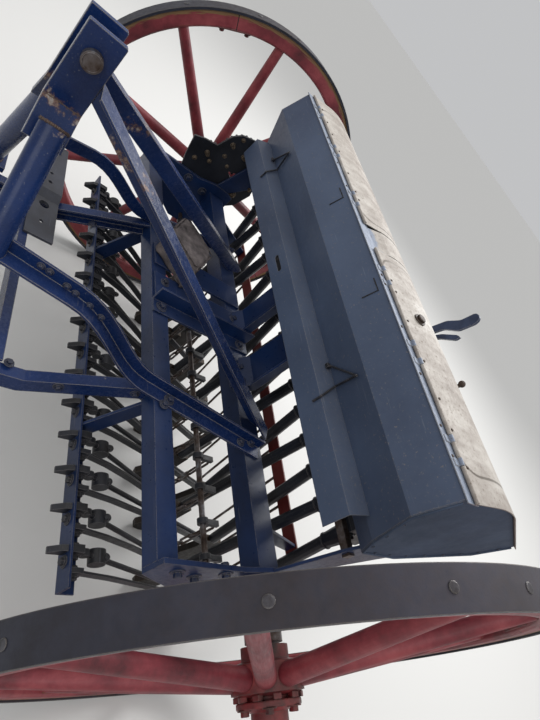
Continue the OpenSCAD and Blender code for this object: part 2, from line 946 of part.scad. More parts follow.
module lid_knuckle(x) {
    difference() {
        union() {
            rod_x(x - knuckle_half, x + knuckle_half, lid_axis_y, lid_axis_z, 2 * (hinge_r - 0.4), 24);
            along_x(x - knuckle_half, x + knuckle_half)
            band([[lid_axis_y, lid_z0], lid_line[0], [lid_y0 + 20, lid_front_z(lid_y0 + 20)]], lid_t);
        }
        rod_x(x - knuckle_half - 1, x + knuckle_half + 1, lid_axis_y, lid_axis_z,
            2 * (hinge_pin_r + pin_clear), 24);
    }
}

module lid_left() { color(zinc) place() lid(1); }
module lid_right() { color(zinc) place() lid(-1); }

// Feed shaft under the front edge of the grain box
shaft_s = 20;
shaft_at = [floor_y[0] - 5, floor_z - 48];

module shaft_profile(grow) {
    translate([shaft_at[0] - grow, shaft_at[1] - grow])
    square(shaft_s + 2 * grow);
}

// End plates and bent straps carry the grain box on the axle beam
// Columns: x of the strap's right edge, width, where its front end lies
box_straps = [[-90, 102, main_front + 6], [100, 120, rear_front - 26]];

module hopper_brackets() {
    end_t = 8;
    color(navy)
    place() {
        for (x0 = [-frame_half, frame_half - end_t]) {
            along_x(x0, x0 + end_t)
            difference() {
                polygon([
                    [rear_front + 4, frame_top + 40], [rear_back - 2, frame_top + 40],
                    [230, bottom_z(230)],
                    [floor_y[1], floor_z], [floor_y[0] + 2, floor_z], [shaft_at[0] - 14, shaft_at[1] + 10]
                ]);
                shaft_profile(pin_clear);
            }
        }
        for (strap = box_straps) {
            box_strap(strap[0], strap[1], strap[2]);
        }
    }
}

// A flat strap laid over the rear beam and bent up to the box's front foot, with a flange along
// its left edge
module box_strap(x0, w, y0) {
    t = 8;
    flange = 30;
    rise_y = foot_front[0] + 18;
    line = [
        [y0, frame_top], [rear_front + 20, frame_top],
        [rise_y - 4, frame_top + 33], [rise_y, foot_front[1] - 14]
    ];
    along_x(x0, x0 + w)
    difference() {
        band(line, t);
        polygon(hopper_profile);
    }
    along_x(x0 + w - t, x0 + w)
    difference() {
        band(line, flange);
        polygon(hopper_profile);
    }
}

module feed_units() {
    half = 30;
    color(black)
    place()
    for (i = [0 : row_count - 1]) {
        along_x(row_x(i) - half, row_x(i) + half)
        polygon([
            [shaft_at[0] + shaft_s, floor_z], [shaft_at[0] + shaft_s, unit_bottom + 40],
            [tube_top_y - 40, unit_bottom], [tube_top_y + 26, unit_bottom], [tube_top_y + 26, floor_z]
        ]);
    }
}

module feed_shaft() {
    color(steel)
    place()
    along_x(-hopper_half + 2, hopper_half - 2)
    shaft_profile(0);
}

// Sheet cover in front of the feed drive
cover_front = -32;
cover_top = foot_front[1] - 4;
ledge_z = foot_front[1] + 13;
ledge_top = [front_wall_y(ledge_z), ledge_z];
cover_low = 872;

// Sight slot in the cover's front: its middle, half length and half height
slot_at = [-85, 912];
slot_half = [33, 7];

module feed_cover() {
    t = 2;
    color(slate)
    place()
    difference() {
        along_x(-hopper_half + 30, hopper_half - 50)
        band([[cover_front, cover_low], [cover_front, cover_top], ledge_top], -t);
        for (s = [-1, 1])
        translate([slot_at[0] + s * (slot_half[0] - slot_half[1]), cover_front + t + 1, slot_at[1]])
        rotate([90, 0, 0])
        cylinder(r = slot_half[1], h = t + 2, $fn = 32);
        translate([slot_at[0] - slot_half[0] + slot_half[1], cover_front - 1, slot_at[1] - slot_half[1]])
        cube([2 * (slot_half[0] - slot_half[1]), t + 2, 2 * slot_half[1]]);
    }
}

// Wire clips: each loop stands on the cover's ledge and its tail hooks over the front
// Columns: x of each clip's foot
clip_at = [-600, 315];

module cover_latches() {
    d = 6;
    ledge = ledge_top + [-9, d / 2 + 2.5];
    color(black)
    place()
    for (x = clip_at) {
        foot = [x, ledge[0], ledge[1]];
        peak = [x + 92, front_wall_y(foot_front[1] + 100) - 8, foot_front[1] + 100];
        heel = [x + 63, ledge[0], ledge[1]];
        hook = [x + 96, cover_front - d / 2 - 0.5, cover_top + d / 2 + 2];
        tip = hook - [0, 0, 26];
        path = [foot, peak, heel, hook, tip];
        for (k = [0 : 3]) {
            past = unit(path[k + 1] - path[k]) * d / 3;
            bar(path[k] - past, path[k + 1] + past, d, 8);
        }
        translate([x - 6, ledge_top[0] - 18, ledge_top[1] - 1.8])
        cube([12, 12, 9]);
    }
}

module seed_tubes() {
    socket_h = 70;
    color(black)
    place()
    for (i = [0 : row_count - 1]) {
        translate([row_x(i), tube_top_y, unit_bottom - socket_h])
        cylinder(d1 = tube_d, d2 = 52, h = socket_h, $fn = 12);
        difference() {
            bar(
                [row_x(i), tube_top_y, unit_bottom - socket_h + 5], [row_x(i), boot_y(i) + 3, 195],
                tube_d - 4, 12
            );
            translate([row_x(i) - 50, boot_y(i) - 100, 115])
            cube([100, 200, 100]);
        }
    }
}

// Rear bar with its supports; its tines hang close behind the long boots
bar_before_boots = 24;
rear_bar_y = long_y - bar_before_boots;
rear_bar_z = 540;
rear_bar_s = 44;

module rear_bar() {
    t = 5;
    color(red)
    place()
    along_x(-frame_half + 52, frame_half - 52)
    translate([rear_bar_y, rear_bar_z])
    band([[0, rear_bar_s], [0, 0], [rear_bar_s, 0]], t);
}

module rear_bar_arms() {
    t = 8;
    reach = row_x(row_count - 1) - row_pitch / 2;
    color(navy)
    place()
    for (x0 = [-reach - t / 2, reach - t / 2]) {
        along_x(x0, x0 + t)
        polygon([
            [rear_back, frame_top - 8], [rear_back, frame_top - 56],
            [rear_bar_y, rear_bar_z + 4], [rear_bar_y, rear_bar_z + rear_bar_s - 4]
        ]);
    }
}

module drag_tines() {
    color(steel)
    place()
    for (i = [0 : row_count - 1]) {
        difference() {
            bar(
                [row_x(i), rear_bar_y + rear_bar_s / 2, rear_bar_z + 10],
                [row_x(i), rear_bar_y + 104, 60], 9, 8
            );
            translate([row_x(i) - 20, rear_bar_y - 20, rear_bar_z])
            cube([40, 100, 50]);
        }
    }
}

// Rough block laid over the main beam, on a flat between the two beams
// Columns: x and y of its corners
block_foot = [[-295, main_rear + 13], [-172, main_rear + 106], [-63, main_rear + 41], [-186, main_rear - 52]];
block_h = 100;
block_cut = 10;
tray_t = 8;
tray_w = 90;

module ballast_tray() {
    color(navy)
    place()
    translate([block_foot[1][0] - tray_w / 2, main_front + 8, frame_top])
    cube([tray_w, rear_back - main_front - 16, tray_t]);
}

// Its corners are knocked off, more towards the top
module ballast_block() {
    color(stone)
    place()
    translate([0, 0, frame_top + tray_t])
    hull() {
        linear_extrude(block_h - 14)
        block_outline(block_cut, 0);
        linear_extrude(block_h)
        block_outline(2 * block_cut, 9);
    }
}

module block_outline(cut, inset) {
    middle = (block_foot[0] + block_foot[2]) / 2;
    corner = [for (c = block_foot) c - inset * unit(c - middle)];
    polygon([
        for (k = [0 : 3], side = [-1, 1])
            corner[k] + cut * unit(corner[(k + side + 4) % 4] - corner[k])
    ]);
}

// Side drive on the right: backing plate and toothed wheels
big_gear = [-20, axle_z + 213];
big_gear_r = 82;
small_gear = [-119, axle_z + 144];
small_gear_r = 50;
gear_t = 14;

module gear_plate() {
    t = 8;
    color(black)
    place()
    along_x(-frame_half - t, -frame_half)
    difference() {
        polygon([
            [-160, frame_top - 10], [-186, frame_top + 65], [-205, small_gear[1] + 30],
            [-165, small_gear[1] + 45], [-116, small_gear[1] + 53], [-96, big_gear[1] + 44],
            [-69, big_gear[1] + 74], [-20, big_gear[1] + 88], [30, big_gear[1] + 86],
            [100, shaft_at[1] - 5], [130, 740], [110, frame_top + 10],
            [60, frame_top - 40], [-60, frame_top - 40]
        ]);
        // Opening past the teeth at the rear
        difference() {
            translate(big_gear + 0.72 * big_gear_r * [0.8, -0.6])
            circle(r = 0.65 * big_gear_r, $fn = 64);
            translate(big_gear)
            circle(r = big_gear_r - 12, $fn = 64);
        }
        translate([0, axle_z + stub_l * tan(camber)])
        circle(r = axle_r + collar_t + 3, $fn = 48);
        shaft_profile(pin_clear);
    }
}

// Straight-sided teeth around a wheel of pitch radius r
module toothed(r, teeth) {
    depth = 9;
    step = 360 / teeth;
    polygon([
        for (k = [0 : teeth - 1], c = [[-0.32, 0], [-0.16, depth], [0.16, depth], [0.32, 0]])
            (r - depth + c[1]) * [cos((k + c[0]) * step), sin((k + c[0]) * step)]
    ]);
}

module drive_gears() {
    color(black)
    place()
    for (g = [[big_gear, big_gear_r, 26], [small_gear, small_gear_r, 16]]) {
        translate([-frame_half - 8 - gear_t, 0, 0])
        along_x(0, gear_t)
        translate(g[0])
        toothed(g[1], g[2]);
        rod_x(-frame_half - 8 - gear_t - 10, -frame_half - 8 - gear_t, g[0][0], g[0][1], 34, 24);
    }
}

// Flat hand lever with its squeeze catch, on a bracket at the grain box back, behind the lids' swing
module control_levers() {
    t = 10;
    swing = norm(lid_line[len(lid_line) - 1] - [lid_axis_y, lid_axis_z]) + lid_t;
    y0 = lid_axis_y + swing + 5;
    color(navy)
    place() {
        along_y(y0, y0 + t)
        difference() {
            union() {
                polygon([
                    [24, 1010], [50, 1010], [52, 1090], [62, 1130], [96, 1170], [106, 1225],
                    [100, 1243], [84, 1248], [72, 1240], [66, 1190], [40, 1150], [28, 1100]
                ]);
                polygon([
                    [48, 1060], [64, 1060], [84, 1104], [122, 1150], [120, 1166], [110, 1164], [74, 1118]
                ]);
            }
            translate([37, 1030])
            circle(d = 12, $fn = 24);
        }
        along_x(20, 54)
        polygon([
            [back_wall_y(1004) + 0.3, 1004], [back_wall_y(1056) + 0.3, 1056], [y0, 1056], [y0, 1004]
        ]);
    }
}

tyre_left();
rim_left();
hub_left();
tyre_right();
rim_right();
hub_right();
main_beam();
rear_beam();
centre_angle();
side_plates();
stub_axles();
clevis_plates();
top_link_pin();
mast_legs();
mast_braces();
curved_channels();
front_cross_bar();
front_side_bars();
drawbar_plate();
lower_hitch_pins();
coulter_bar();
bar_hangers();
lever_brackets();
coulter_levers();
coulter_boots();
lift_shaft();
lift_arms();
lift_chains();
hopper_shell();
hopper_ends();
hopper_brackets();
lid_strap();
lid_left();
lid_right();
feed_units();
feed_shaft();
feed_cover();
cover_latches();
seed_tubes();
rear_bar();
rear_bar_arms();
drag_tines();
ballast_block();
ballast_tray();
gear_plate();
drive_gears();
control_levers();
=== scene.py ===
import math
import random

import bmesh
import bpy
from mathutils import Matrix, Vector, noise


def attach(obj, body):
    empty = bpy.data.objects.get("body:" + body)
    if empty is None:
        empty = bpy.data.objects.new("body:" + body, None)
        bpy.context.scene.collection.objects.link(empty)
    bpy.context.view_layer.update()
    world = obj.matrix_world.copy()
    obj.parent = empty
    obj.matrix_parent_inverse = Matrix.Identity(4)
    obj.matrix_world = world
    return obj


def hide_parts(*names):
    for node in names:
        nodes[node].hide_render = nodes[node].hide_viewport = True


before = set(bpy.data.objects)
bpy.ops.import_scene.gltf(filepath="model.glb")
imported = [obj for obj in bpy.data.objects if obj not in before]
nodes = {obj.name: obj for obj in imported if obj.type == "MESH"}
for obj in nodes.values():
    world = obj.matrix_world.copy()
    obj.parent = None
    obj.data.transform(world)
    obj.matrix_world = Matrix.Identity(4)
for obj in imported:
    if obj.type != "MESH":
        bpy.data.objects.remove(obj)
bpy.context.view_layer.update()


# ---- Viewpoint ----
# A hand-held picture taken above the left wheel and ahead of it, looking back and down over the
# machine, with the camera rolled by about 54 degrees. The directions are the picture's own.
camera_place = Vector((1.0457, -0.8519, 1.5196))
picture_right = Vector((0.1481, 0.6906, 0.7079))
picture_up = Vector((-0.7961, -0.3414, 0.4997))
picture_back = Vector((0.5868, -0.6375, 0.4992))

camera_data = bpy.data.cameras.new("viewpoint")
camera_data.sensor_fit = "VERTICAL"
camera_data.sensor_height = 36
camera_data.lens = 25.83
camera_data.clip_start = 0.02
camera_data.clip_end = 100
camera = bpy.data.objects.new("viewpoint", camera_data)
axes = Matrix((picture_right, picture_up, picture_back)).transposed()
camera.matrix_world = Matrix.Translation(camera_place) @ axes.to_4x4()
bpy.context.scene.collection.objects.link(camera)
bpy.context.scene.camera = camera
bpy.context.scene.view_settings.view_transform = "Standard"


# ---- Studio floor and light ----
# A smooth pale floor that runs out of sight, under an even bright ceiling of light. Two wide
# soft lamps stand in for the brighter part of a hazy sky and for what the ground throws back.
def srgb(hex_colour):
    """An sRGB hex colour as the linear colour that a shader's socket takes."""
    channels = [int(hex_colour[i:i + 2], 16) / 255 for i in (1, 3, 5)]
    return [c / 12.92 if c <= 0.04045 else ((c + 0.055) / 1.055) ** 2.4 for c in channels] + [1]


def add(tree, kind, inputs=None, stops=None, **settings):
    """Adds a shader node of a kind, with its settings. Each input is a value or the socket that
    feeds it."""
    node = tree.nodes.new("ShaderNode" + kind)
    for name, value in settings.items():
        setattr(node, name, value)
    for name, value in (inputs or {}).items():
        if isinstance(value, bpy.types.NodeSocket):
            tree.links.new(value, node.inputs[name])
        else:
            node.inputs[name].default_value = value
    for k, (position, colour) in enumerate(stops or []):
        ramp = node.color_ramp.elements
        stop = ramp[k] if k < 2 else ramp.new(position)
        stop.position = position
        stop.color = colour
    return node


def start_material(name):
    """A material with only its shader and output, and the coordinates of the part itself."""
    material = bpy.data.materials.new(name)
    material.use_nodes = True
    tree = material.node_tree
    tree.nodes.clear()
    shader = add(tree, "BsdfPrincipled")
    add(tree, "OutputMaterial", {"Surface": shader.outputs[0]})
    place = add(tree, "TexCoord").outputs["Object"]
    return material, tree, shader, place


floor_size = 400
shape = bmesh.new()
bmesh.ops.create_grid(shape, x_segments=2, y_segments=2, size=floor_size / 2)
floor_mesh = bpy.data.meshes.new("floor")
shape.to_mesh(floor_mesh)
shape.free()
floor = bpy.data.objects.new("floor", floor_mesh)
bpy.context.scene.collection.objects.link(floor)

# Matt studio vinyl: it shows nearly white, but throws back no more light than a grey card
vinyl, tree, shader, place = start_material("matt studio vinyl")
ray = add(tree, "LightPath")
seen = add(tree, "Math", {0: ray.outputs["Is Camera Ray"], 1: ray.outputs["Is Glossy Ray"]},
           operation="MAXIMUM")
seen = add(tree, "Math", {0: seen.outputs[0], 1: ray.outputs["Is Transmission Ray"]},
           operation="MAXIMUM")
shade = add(tree, "Mix", {0: seen.outputs[0], 6: srgb("#8a8780"), 7: srgb("#d6d5d2")},
            data_type="RGBA")
tree.links.new(shade.outputs[2], shader.inputs["Base Color"])
shader.inputs["Roughness"].default_value = 0.9
shader.inputs["Specular IOR Level"].default_value = 0.1
floor_mesh.materials.append(vinyl)

# White room: lamps and ceiling give the light, and the walls are pale to the camera
world = bpy.data.worlds.new("bright studio")
bpy.context.scene.world = world
world.use_nodes = True
tree = world.node_tree
tree.nodes.clear()
ray = add(tree, "LightPath")
height = add(tree, "SeparateXYZ", {0: add(tree, "TexCoord").outputs["Generated"]})
ceiling = add(tree, "MapRange", {"Value": height.outputs["Z"], "From Min": -0.1,
                                 "From Max": 0.9, "To Min": 0.38, "To Max": 0.95})
strength = add(tree, "Mix", {0: ray.outputs["Is Camera Ray"], 2: ceiling.outputs[0],
                             3: 0.58}, data_type="FLOAT")
sky = add(tree, "Background", {"Color": srgb("#f6f7f9"), "Strength": strength.outputs[0]})
add(tree, "OutputWorld", {"Surface": sky.outputs[0]})

# Columns: name, where it stands, what it is aimed at, side in metres, watts
lamp_table = [
    ("hazy sky panel", (-1.9, 2.9, 3.8), (0.0, 0.1, 0.8), 2.6, 190),
    ("front fill panel", (2.6, -3.0, 2.6), (0.0, -0.2, 0.6), 2.4, 30),
]
for name, stand, target, side, watts in lamp_table:
    lamp = bpy.data.lights.new(name, "AREA")
    lamp.shape = "SQUARE"
    lamp.size = side
    lamp.energy = watts
    lamp_object = bpy.data.objects.new(name, lamp)
    aim = Vector(target) - Vector(stand)
    lamp_object.matrix_world = (Matrix.Translation(stand)
                                @ aim.to_track_quat("-Z", "Y").to_matrix().to_4x4())
    bpy.context.scene.collection.objects.link(lamp_object)


# ---- Main frame ----
# Two square beams, side plates and an angle iron between them, welded from rolled steel and
# brushed with navy machine enamel that has dulled in patches and chipped along its edges.
def finish(material, *names):
    """Gives these nodes of the part one material."""
    for name in names:
        mesh = nodes[name].data
        mesh.materials.clear()
        mesh.materials.append(material)


def round_edges(tree, radius):
    """The normal as if every edge were rounded by this many metres, and how well the true one
    agrees with it: 1 on a flat, and less beside an edge."""
    rounded = add(tree, "Bevel", {"Radius": radius}, samples=4).outputs[0]
    geometry = add(tree, "NewGeometry")
    flatness = add(tree, "VectorMath", {0: rounded, 1: geometry.outputs["Normal"]},
                   operation="DOT_PRODUCT")
    return rounded, flatness.outputs["Value"]


def enamel(name, colour, shade, bare, gloss, wear, dust=0.2, patch_mm=260, chip_mm=9,
           dirt="#8d877c", metal=0.0, shine=0.3, scores=0.3, specks=0.05):
    """Brushed enamel. Colour and shade mix in patches, bare shows where it has chipped, gloss is
    its roughness, shine its specular level, and wear, dust, scores and specks run from 0 to 1."""
    material, tree, shader, place = start_material(name)
    patches = add(tree, "TexNoise", {"Vector": place, "Scale": 1000 / patch_mm,
                                     "Detail": 6.0, "Roughness": 0.62})
    even = add(tree, "MapRange", {"Value": patches.outputs[0], "From Min": 0.32, "From Max": 0.68})
    paint = add(tree, "Mix", {0: even.outputs[0], 6: srgb(colour), 7: srgb(shade)},
                data_type="RGBA")
    # Dust lies on whatever faces up, in small clots
    geometry = add(tree, "NewGeometry")
    facing = add(tree, "SeparateXYZ", {0: geometry.outputs["Normal"]})
    grit = add(tree, "TexNoise", {"Vector": place, "Scale": 1000 / 14, "Detail": 8.0,
                                  "Roughness": 0.7})
    up = add(tree, "MapRange", {"Value": facing.outputs["Z"], "From Min": 0.15,
                                "From Max": 1.0, "To Min": 0.1 * dust, "To Max": dust})
    settled = add(tree, "Math", {0: up.outputs[0], 1: grit.outputs[0]}, operation="MULTIPLY")
    dusty = add(tree, "Mix", {0: settled.outputs[0], 6: paint.outputs[2],
                              7: srgb(dirt)}, data_type="RGBA")
    # Where the surface turns within a few millimetres the paint is thin and chips off
    rounded, flatness = round_edges(tree, 0.003)
    edge = add(tree, "MapRange", {"Value": flatness, "From Min": 0.995, "From Max": 0.84,
                                  "To Min": specks, "To Max": 0.62 * wear})
    chips = add(tree, "TexNoise", {"Vector": place, "Scale": 1000 / chip_mm,
                                   "Detail": 5.0, "Roughness": 0.65})
    broken = add(tree, "Math", {0: edge.outputs[0], 1: chips.outputs[0]}, operation="ADD")
    worn = add(tree, "MapRange", {"Value": broken.outputs[0], "From Min": 0.84, "From Max": 0.93})
    # Long fine scratches run with the brush marks, most of them lengthways
    across = add(tree, "Mapping", {"Vector": place, "Rotation": (0.35, 0.5, 0.2),
                                   "Scale": (9.0, 260.0, 260.0)})
    scratch = add(tree, "TexNoise", {"Vector": across.outputs[0], "Scale": 1.0, "Detail": 1.0})
    scored = add(tree, "MapRange", {"Value": scratch.outputs[0], "From Min": 0.72,
                                    "From Max": 0.80, "To Max": scores * wear})
    marked = add(tree, "Mix", {0: scored.outputs[0], 6: dusty.outputs[2],
                               7: srgb(bare)}, data_type="RGBA")
    steel = add(tree, "Mix", {0: chips.outputs[0], 6: srgb(bare), 7: srgb("#5e5249")},
                data_type="RGBA")
    whole = add(tree, "Mix", {0: worn.outputs[0], 6: marked.outputs[2],
                              7: steel.outputs[2]}, data_type="RGBA")
    tree.links.new(whole.outputs[2], shader.inputs["Base Color"])
    dull = add(tree, "MapRange", {"Value": grit.outputs[0], "From Min": 0.3,
                                  "From Max": 0.75, "To Min": gloss - 0.06,
                                  "To Max": min(1.0, gloss + 0.16 + 0.2 * dust)})
    tree.links.new(dull.outputs[0], shader.inputs["Roughness"])
    shader.inputs["Metallic"].default_value = metal
    shader.inputs["Specular IOR Level"].default_value = shine
    # Brush marks about 3 mm apart, and the lip round each chip
    ripple = add(tree, "TexNoise", {"Vector": place, "Scale": 1000 / 3.0, "Detail": 3.0})
    relief = add(tree, "Math", {0: ripple.outputs[0], 1: worn.outputs[0]}, operation="SUBTRACT")
    bump = add(tree, "Bump", {"Height": relief.outputs[0], "Strength": 0.22,
                              "Distance": 0.0005, "Normal": rounded})
    tree.links.new(bump.outputs[0], shader.inputs["Normal"])
    return material


navy = enamel("navy machine enamel", "#183260", "#0e1d3a", "#8f9196", gloss=0.3, wear=0.75,
              dust=0.08)
finish(navy, "main_beam", "rear_beam", "centre_angle", "side_plates")

# Cold-headed steel bolts painted over with the frame, rubbed bare on their corners
bolt_steel = enamel("painted bolt steel", "#1d3058", "#151c2c", "#8f8e8c", gloss=0.36, wear=1.0,
                    patch_mm=60, chip_mm=5)


def at(x, y, z):
    """A point in millimetres, with Y counted from the axle, in the frame's own metres."""
    axle_y = 80
    return Vector((x, y + axle_y, z)) / 1000


def stand(place, axis):
    """Puts a shape made upright at the origin onto a place, pointing along an axis."""
    return Matrix.Translation(place) @ Vector(axis).to_track_quat("Z", "Y").to_matrix().to_4x4()


def add_bolt(shape, place, axis, across):
    """A hexagon head with a chamfered crown on a round washer; across is its size over flats."""
    lift = stand(place, axis)
    washer = 0.14 * across
    head = 0.62 * across
    corner = 0.577 * across
    bmesh.ops.create_cone(shape, cap_ends=True, segments=18, radius1=across, radius2=0.96 * across,
                          depth=washer, matrix=lift @ Matrix.Translation((0, 0, washer / 2)))
    made = bmesh.ops.create_cone(
        shape, cap_ends=True, segments=6, radius1=corner, radius2=corner, depth=head,
        matrix=lift @ Matrix.Translation((0, 0, washer + head / 2)))
    crown = lift @ Vector((0, 0, washer + head))
    up = Vector(axis).normalized()
    rim = {edge for vert in made["verts"] for edge in vert.link_edges
           if all(abs((end.co - crown).dot(up)) < 1e-6 for end in edge.verts)}
    bmesh.ops.bevel(shape, geom=list(rim), affect="EDGES", offset=0.1 * across, segments=2,
                    profile=0.5, material=-1)


def add_piece(name, shape, material, body, smooth=False):
    """Turns a finished bmesh into a piece of the object that rides on a body."""
    bmesh.ops.recalc_face_normals(shape, faces=shape.faces)
    mesh = bpy.data.meshes.new(name)
    shape.to_mesh(mesh)
    shape.free()
    mesh.materials.append(material)
    mesh.polygons.foreach_set("use_smooth", [smooth] * len(mesh.polygons))
    made = bpy.data.objects.new(name, mesh)
    bpy.context.scene.collection.objects.link(made)
    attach(made, body)
    return made


# Columns: X, Y and Z in millimetres, which way the head faces, size over flats
frame_bolts = [
    (42, -276, 663, (0, 0, 1), 17), (42, 20, 663, (0, 0, 1), 17),
    (-60, -262, 665, (0, 0, 1), 15), (-18, -262, 665, (0, 0, 1), 15),
    (-60, 8, 665, (0, 0, 1), 15), (-18, 8, 665, (0, 0, 1), 15),
    (135, 8, 665, (0, 0, 1), 15), (185, 8, 665, (0, 0, 1), 15),
    (730, -276, 640, (-1, 0, 0), 15), (730, -120, 655, (-1, 0, 0), 17),
    (730, -40, 640, (-1, 0, 0), 17), (730, -180, 620, (-1, 0, 0), 17),
    (-730, -120, 655, (1, 0, 0), 17), (-730, -40, 640, (1, 0, 0), 17),
    (742, -120, 655, (1, 0, 0), 17), (742, -240, 640, (1, 0, 0), 17),
    (742, -180, 620, (1, 0, 0), 17), (742, 60, 660, (1, 0, 0), 15),
]
shape = bmesh.new()
for x, y, z, axis, across in frame_bolts:
    add_bolt(shape, at(x, y, z), axis, across / 1000)
add_piece("frame_bolts", shape, bolt_steel, "frame")


# ---- Wheels ----
# Cart wheels with ten ash spokes let into a cast hub and five sawn felloes, held by a flat iron
# tyre shrunk on hot. The wood is painted red, and bare ochre ash shows beside the tyre.

# On a wheel, lengths are in metres from its middle, and angles in degrees from its rear
wheel_radius = 0.625
felloe_inside = 0.563
first_joint_deg = 119
joint_step_deg = 72

# The tyre's bare iron has gone blue-grey and dull, with brown road dust where it faces up
iron = enamel("weathered iron tyre", "#383c4a", "#26272f", "#a19d97", gloss=0.4, wear=1.0, dust=0.4,
              patch_mm=140, chip_mm=16, dirt="#66544a", metal=0.3, scores=0.0)
finish(iron, "tyre_left", "tyre_right")

# Bolt heads that the road has ground bright between small pits of rust
worn_iron = enamel("road-worn bolt heads", "#5a5a60", "#302f33", "#a9a6a0", gloss=0.34, wear=1.0,
                   patch_mm=12, chip_mm=5, dirt="#6a5547", metal=0.6)

# Cast hubs and clips: red where they were painted, nearly black where grease holds the dirt
red_iron = enamel("greasy red cast iron", "#8c2f33", "#281719", "#3c3432", gloss=0.4, wear=0.9,
                  dust=0.3, patch_mm=48, chip_mm=14)
finish(red_iron, "hub_left", "hub_right")

# Red lead paint on ash: grain runs along each spoke and round the felloes, and the butt joints
# between felloes show as dark cracks
axle_line = Vector((0.0, 0.08, 0.6258))
paint_ends = 0.598
bare_from = 0.611
# Along the fibre the grain runs twenty times slower; half a crack is this share of a felloe
grain_stretch = 0.05
crack_share = 0.0022
red_wood, tree, shader, place = start_material("red painted ash")
from_axle = add(tree, "Mapping", {"Vector": place, "Location": -axle_line})
part = add(tree, "SeparateXYZ", {0: from_axle.outputs[0]})
flat = add(tree, "CombineXYZ", {"Y": part.outputs["Y"], "Z": part.outputs["Z"]})
radius = add(tree, "VectorMath", {0: flat.outputs[0]}, operation="LENGTH").outputs["Value"]
angle = add(tree, "Math", {0: part.outputs["Z"], 1: part.outputs["Y"]},
            operation="ARCTAN2").outputs[0]
arc = add(tree, "Math", {0: angle, 1: wheel_radius}, operation="MULTIPLY").outputs[0]
slow_arc = add(tree, "Math", {0: arc, 1: grain_stretch}, operation="MULTIPLY").outputs[0]
slow_radius = add(tree, "Math", {0: radius, 1: grain_stretch}, operation="MULTIPLY").outputs[0]
round_grain = add(tree, "CombineXYZ", {"X": part.outputs["X"], "Y": slow_arc, "Z": radius})
long_grain = add(tree, "CombineXYZ", {"X": part.outputs["X"], "Y": slow_radius, "Z": arc})
in_felloe = add(tree, "Math", {0: radius, 1: felloe_inside}, operation="GREATER_THAN")
way = add(tree, "Mix", {0: in_felloe.outputs[0], 4: long_grain.outputs[0],
                        5: round_grain.outputs[0]}, data_type="VECTOR")
grain = add(tree, "TexNoise", {"Vector": way.outputs[1], "Scale": 1000 / 4, "Detail": 5.0,
                               "Roughness": 0.6})
fade = add(tree, "TexNoise", {"Vector": place, "Scale": 1000 / 130, "Detail": 6.0,
                              "Roughness": 0.65})
paint = add(tree, "ValToRGB", {0: fade.outputs[0]}, stops=[
    (0.32, srgb("#521e24")), (0.5, srgb("#803038")), (0.68, srgb("#a04a4e"))])
# Paint is thin along the rounded edges and rubbed off beside the tyre, down to streaky ash
rounded, flatness = round_edges(tree, 0.006)
edge = add(tree, "MapRange", {"Value": flatness, "From Min": 0.99, "From Max": 0.8, "To Max": 0.22})
by_tyre = add(tree, "MapRange", {"Value": radius, "From Min": paint_ends, "From Max": bare_from,
                                 "To Max": 0.42})
thin = add(tree, "Math", {0: edge.outputs[0], 1: by_tyre.outputs[0]}, operation="MAXIMUM")
flake = add(tree, "Math", {0: thin.outputs[0], 1: grain.outputs[0]}, operation="ADD")
bare = add(tree, "MapRange", {"Value": flake.outputs[0], "From Min": 0.70, "From Max": 0.78})
ash = add(tree, "Mix", {0: grain.outputs[0], 6: srgb("#5c4229"), 7: srgb("#9a7850")},
          data_type="RGBA")
worn_paint = add(tree, "Mix", {0: bare.outputs[0], 6: paint.outputs[0],
                               7: ash.outputs[2]}, data_type="RGBA")
# How far round the rim a point is from the nearest felloe joint, as a share of a felloe
turns = add(tree, "Math", {0: angle, 1: math.radians(-first_joint_deg)}, operation="ADD")
share = add(tree, "Math", {0: turns.outputs[0], 1: 1 / math.radians(joint_step_deg)},
            operation="MULTIPLY")
off_joint = add(tree, "Math", {0: share.outputs[0], 1: 0.5}, operation="PINGPONG")
crack = add(tree, "Math", {0: off_joint.outputs[0], 1: crack_share}, operation="LESS_THAN")
joint = add(tree, "Math", {0: crack.outputs[0], 1: in_felloe.outputs[0]}, operation="MULTIPLY")
wood_colour = add(tree, "Mix", {0: joint.outputs[0], 6: worn_paint.outputs[2],
                                7: srgb("#1d1412")}, data_type="RGBA")
tree.links.new(wood_colour.outputs[2], shader.inputs["Base Color"])
matt = add(tree, "MapRange", {"Value": grain.outputs[0], "From Min": 0.3,
                              "From Max": 0.7, "To Min": 0.42, "To Max": 0.62})
tree.links.new(matt.outputs[0], shader.inputs["Roughness"])
depth = add(tree, "Math", {0: grain.outputs[0], 1: joint.outputs[0]}, operation="SUBTRACT")
bump = add(tree, "Bump", {"Height": depth.outputs[0], "Strength": 0.4,
                          "Distance": 0.0012, "Normal": rounded})
tree.links.new(bump.outputs[0], shader.inputs["Normal"])
finish(red_wood, "rim_left", "rim_right")

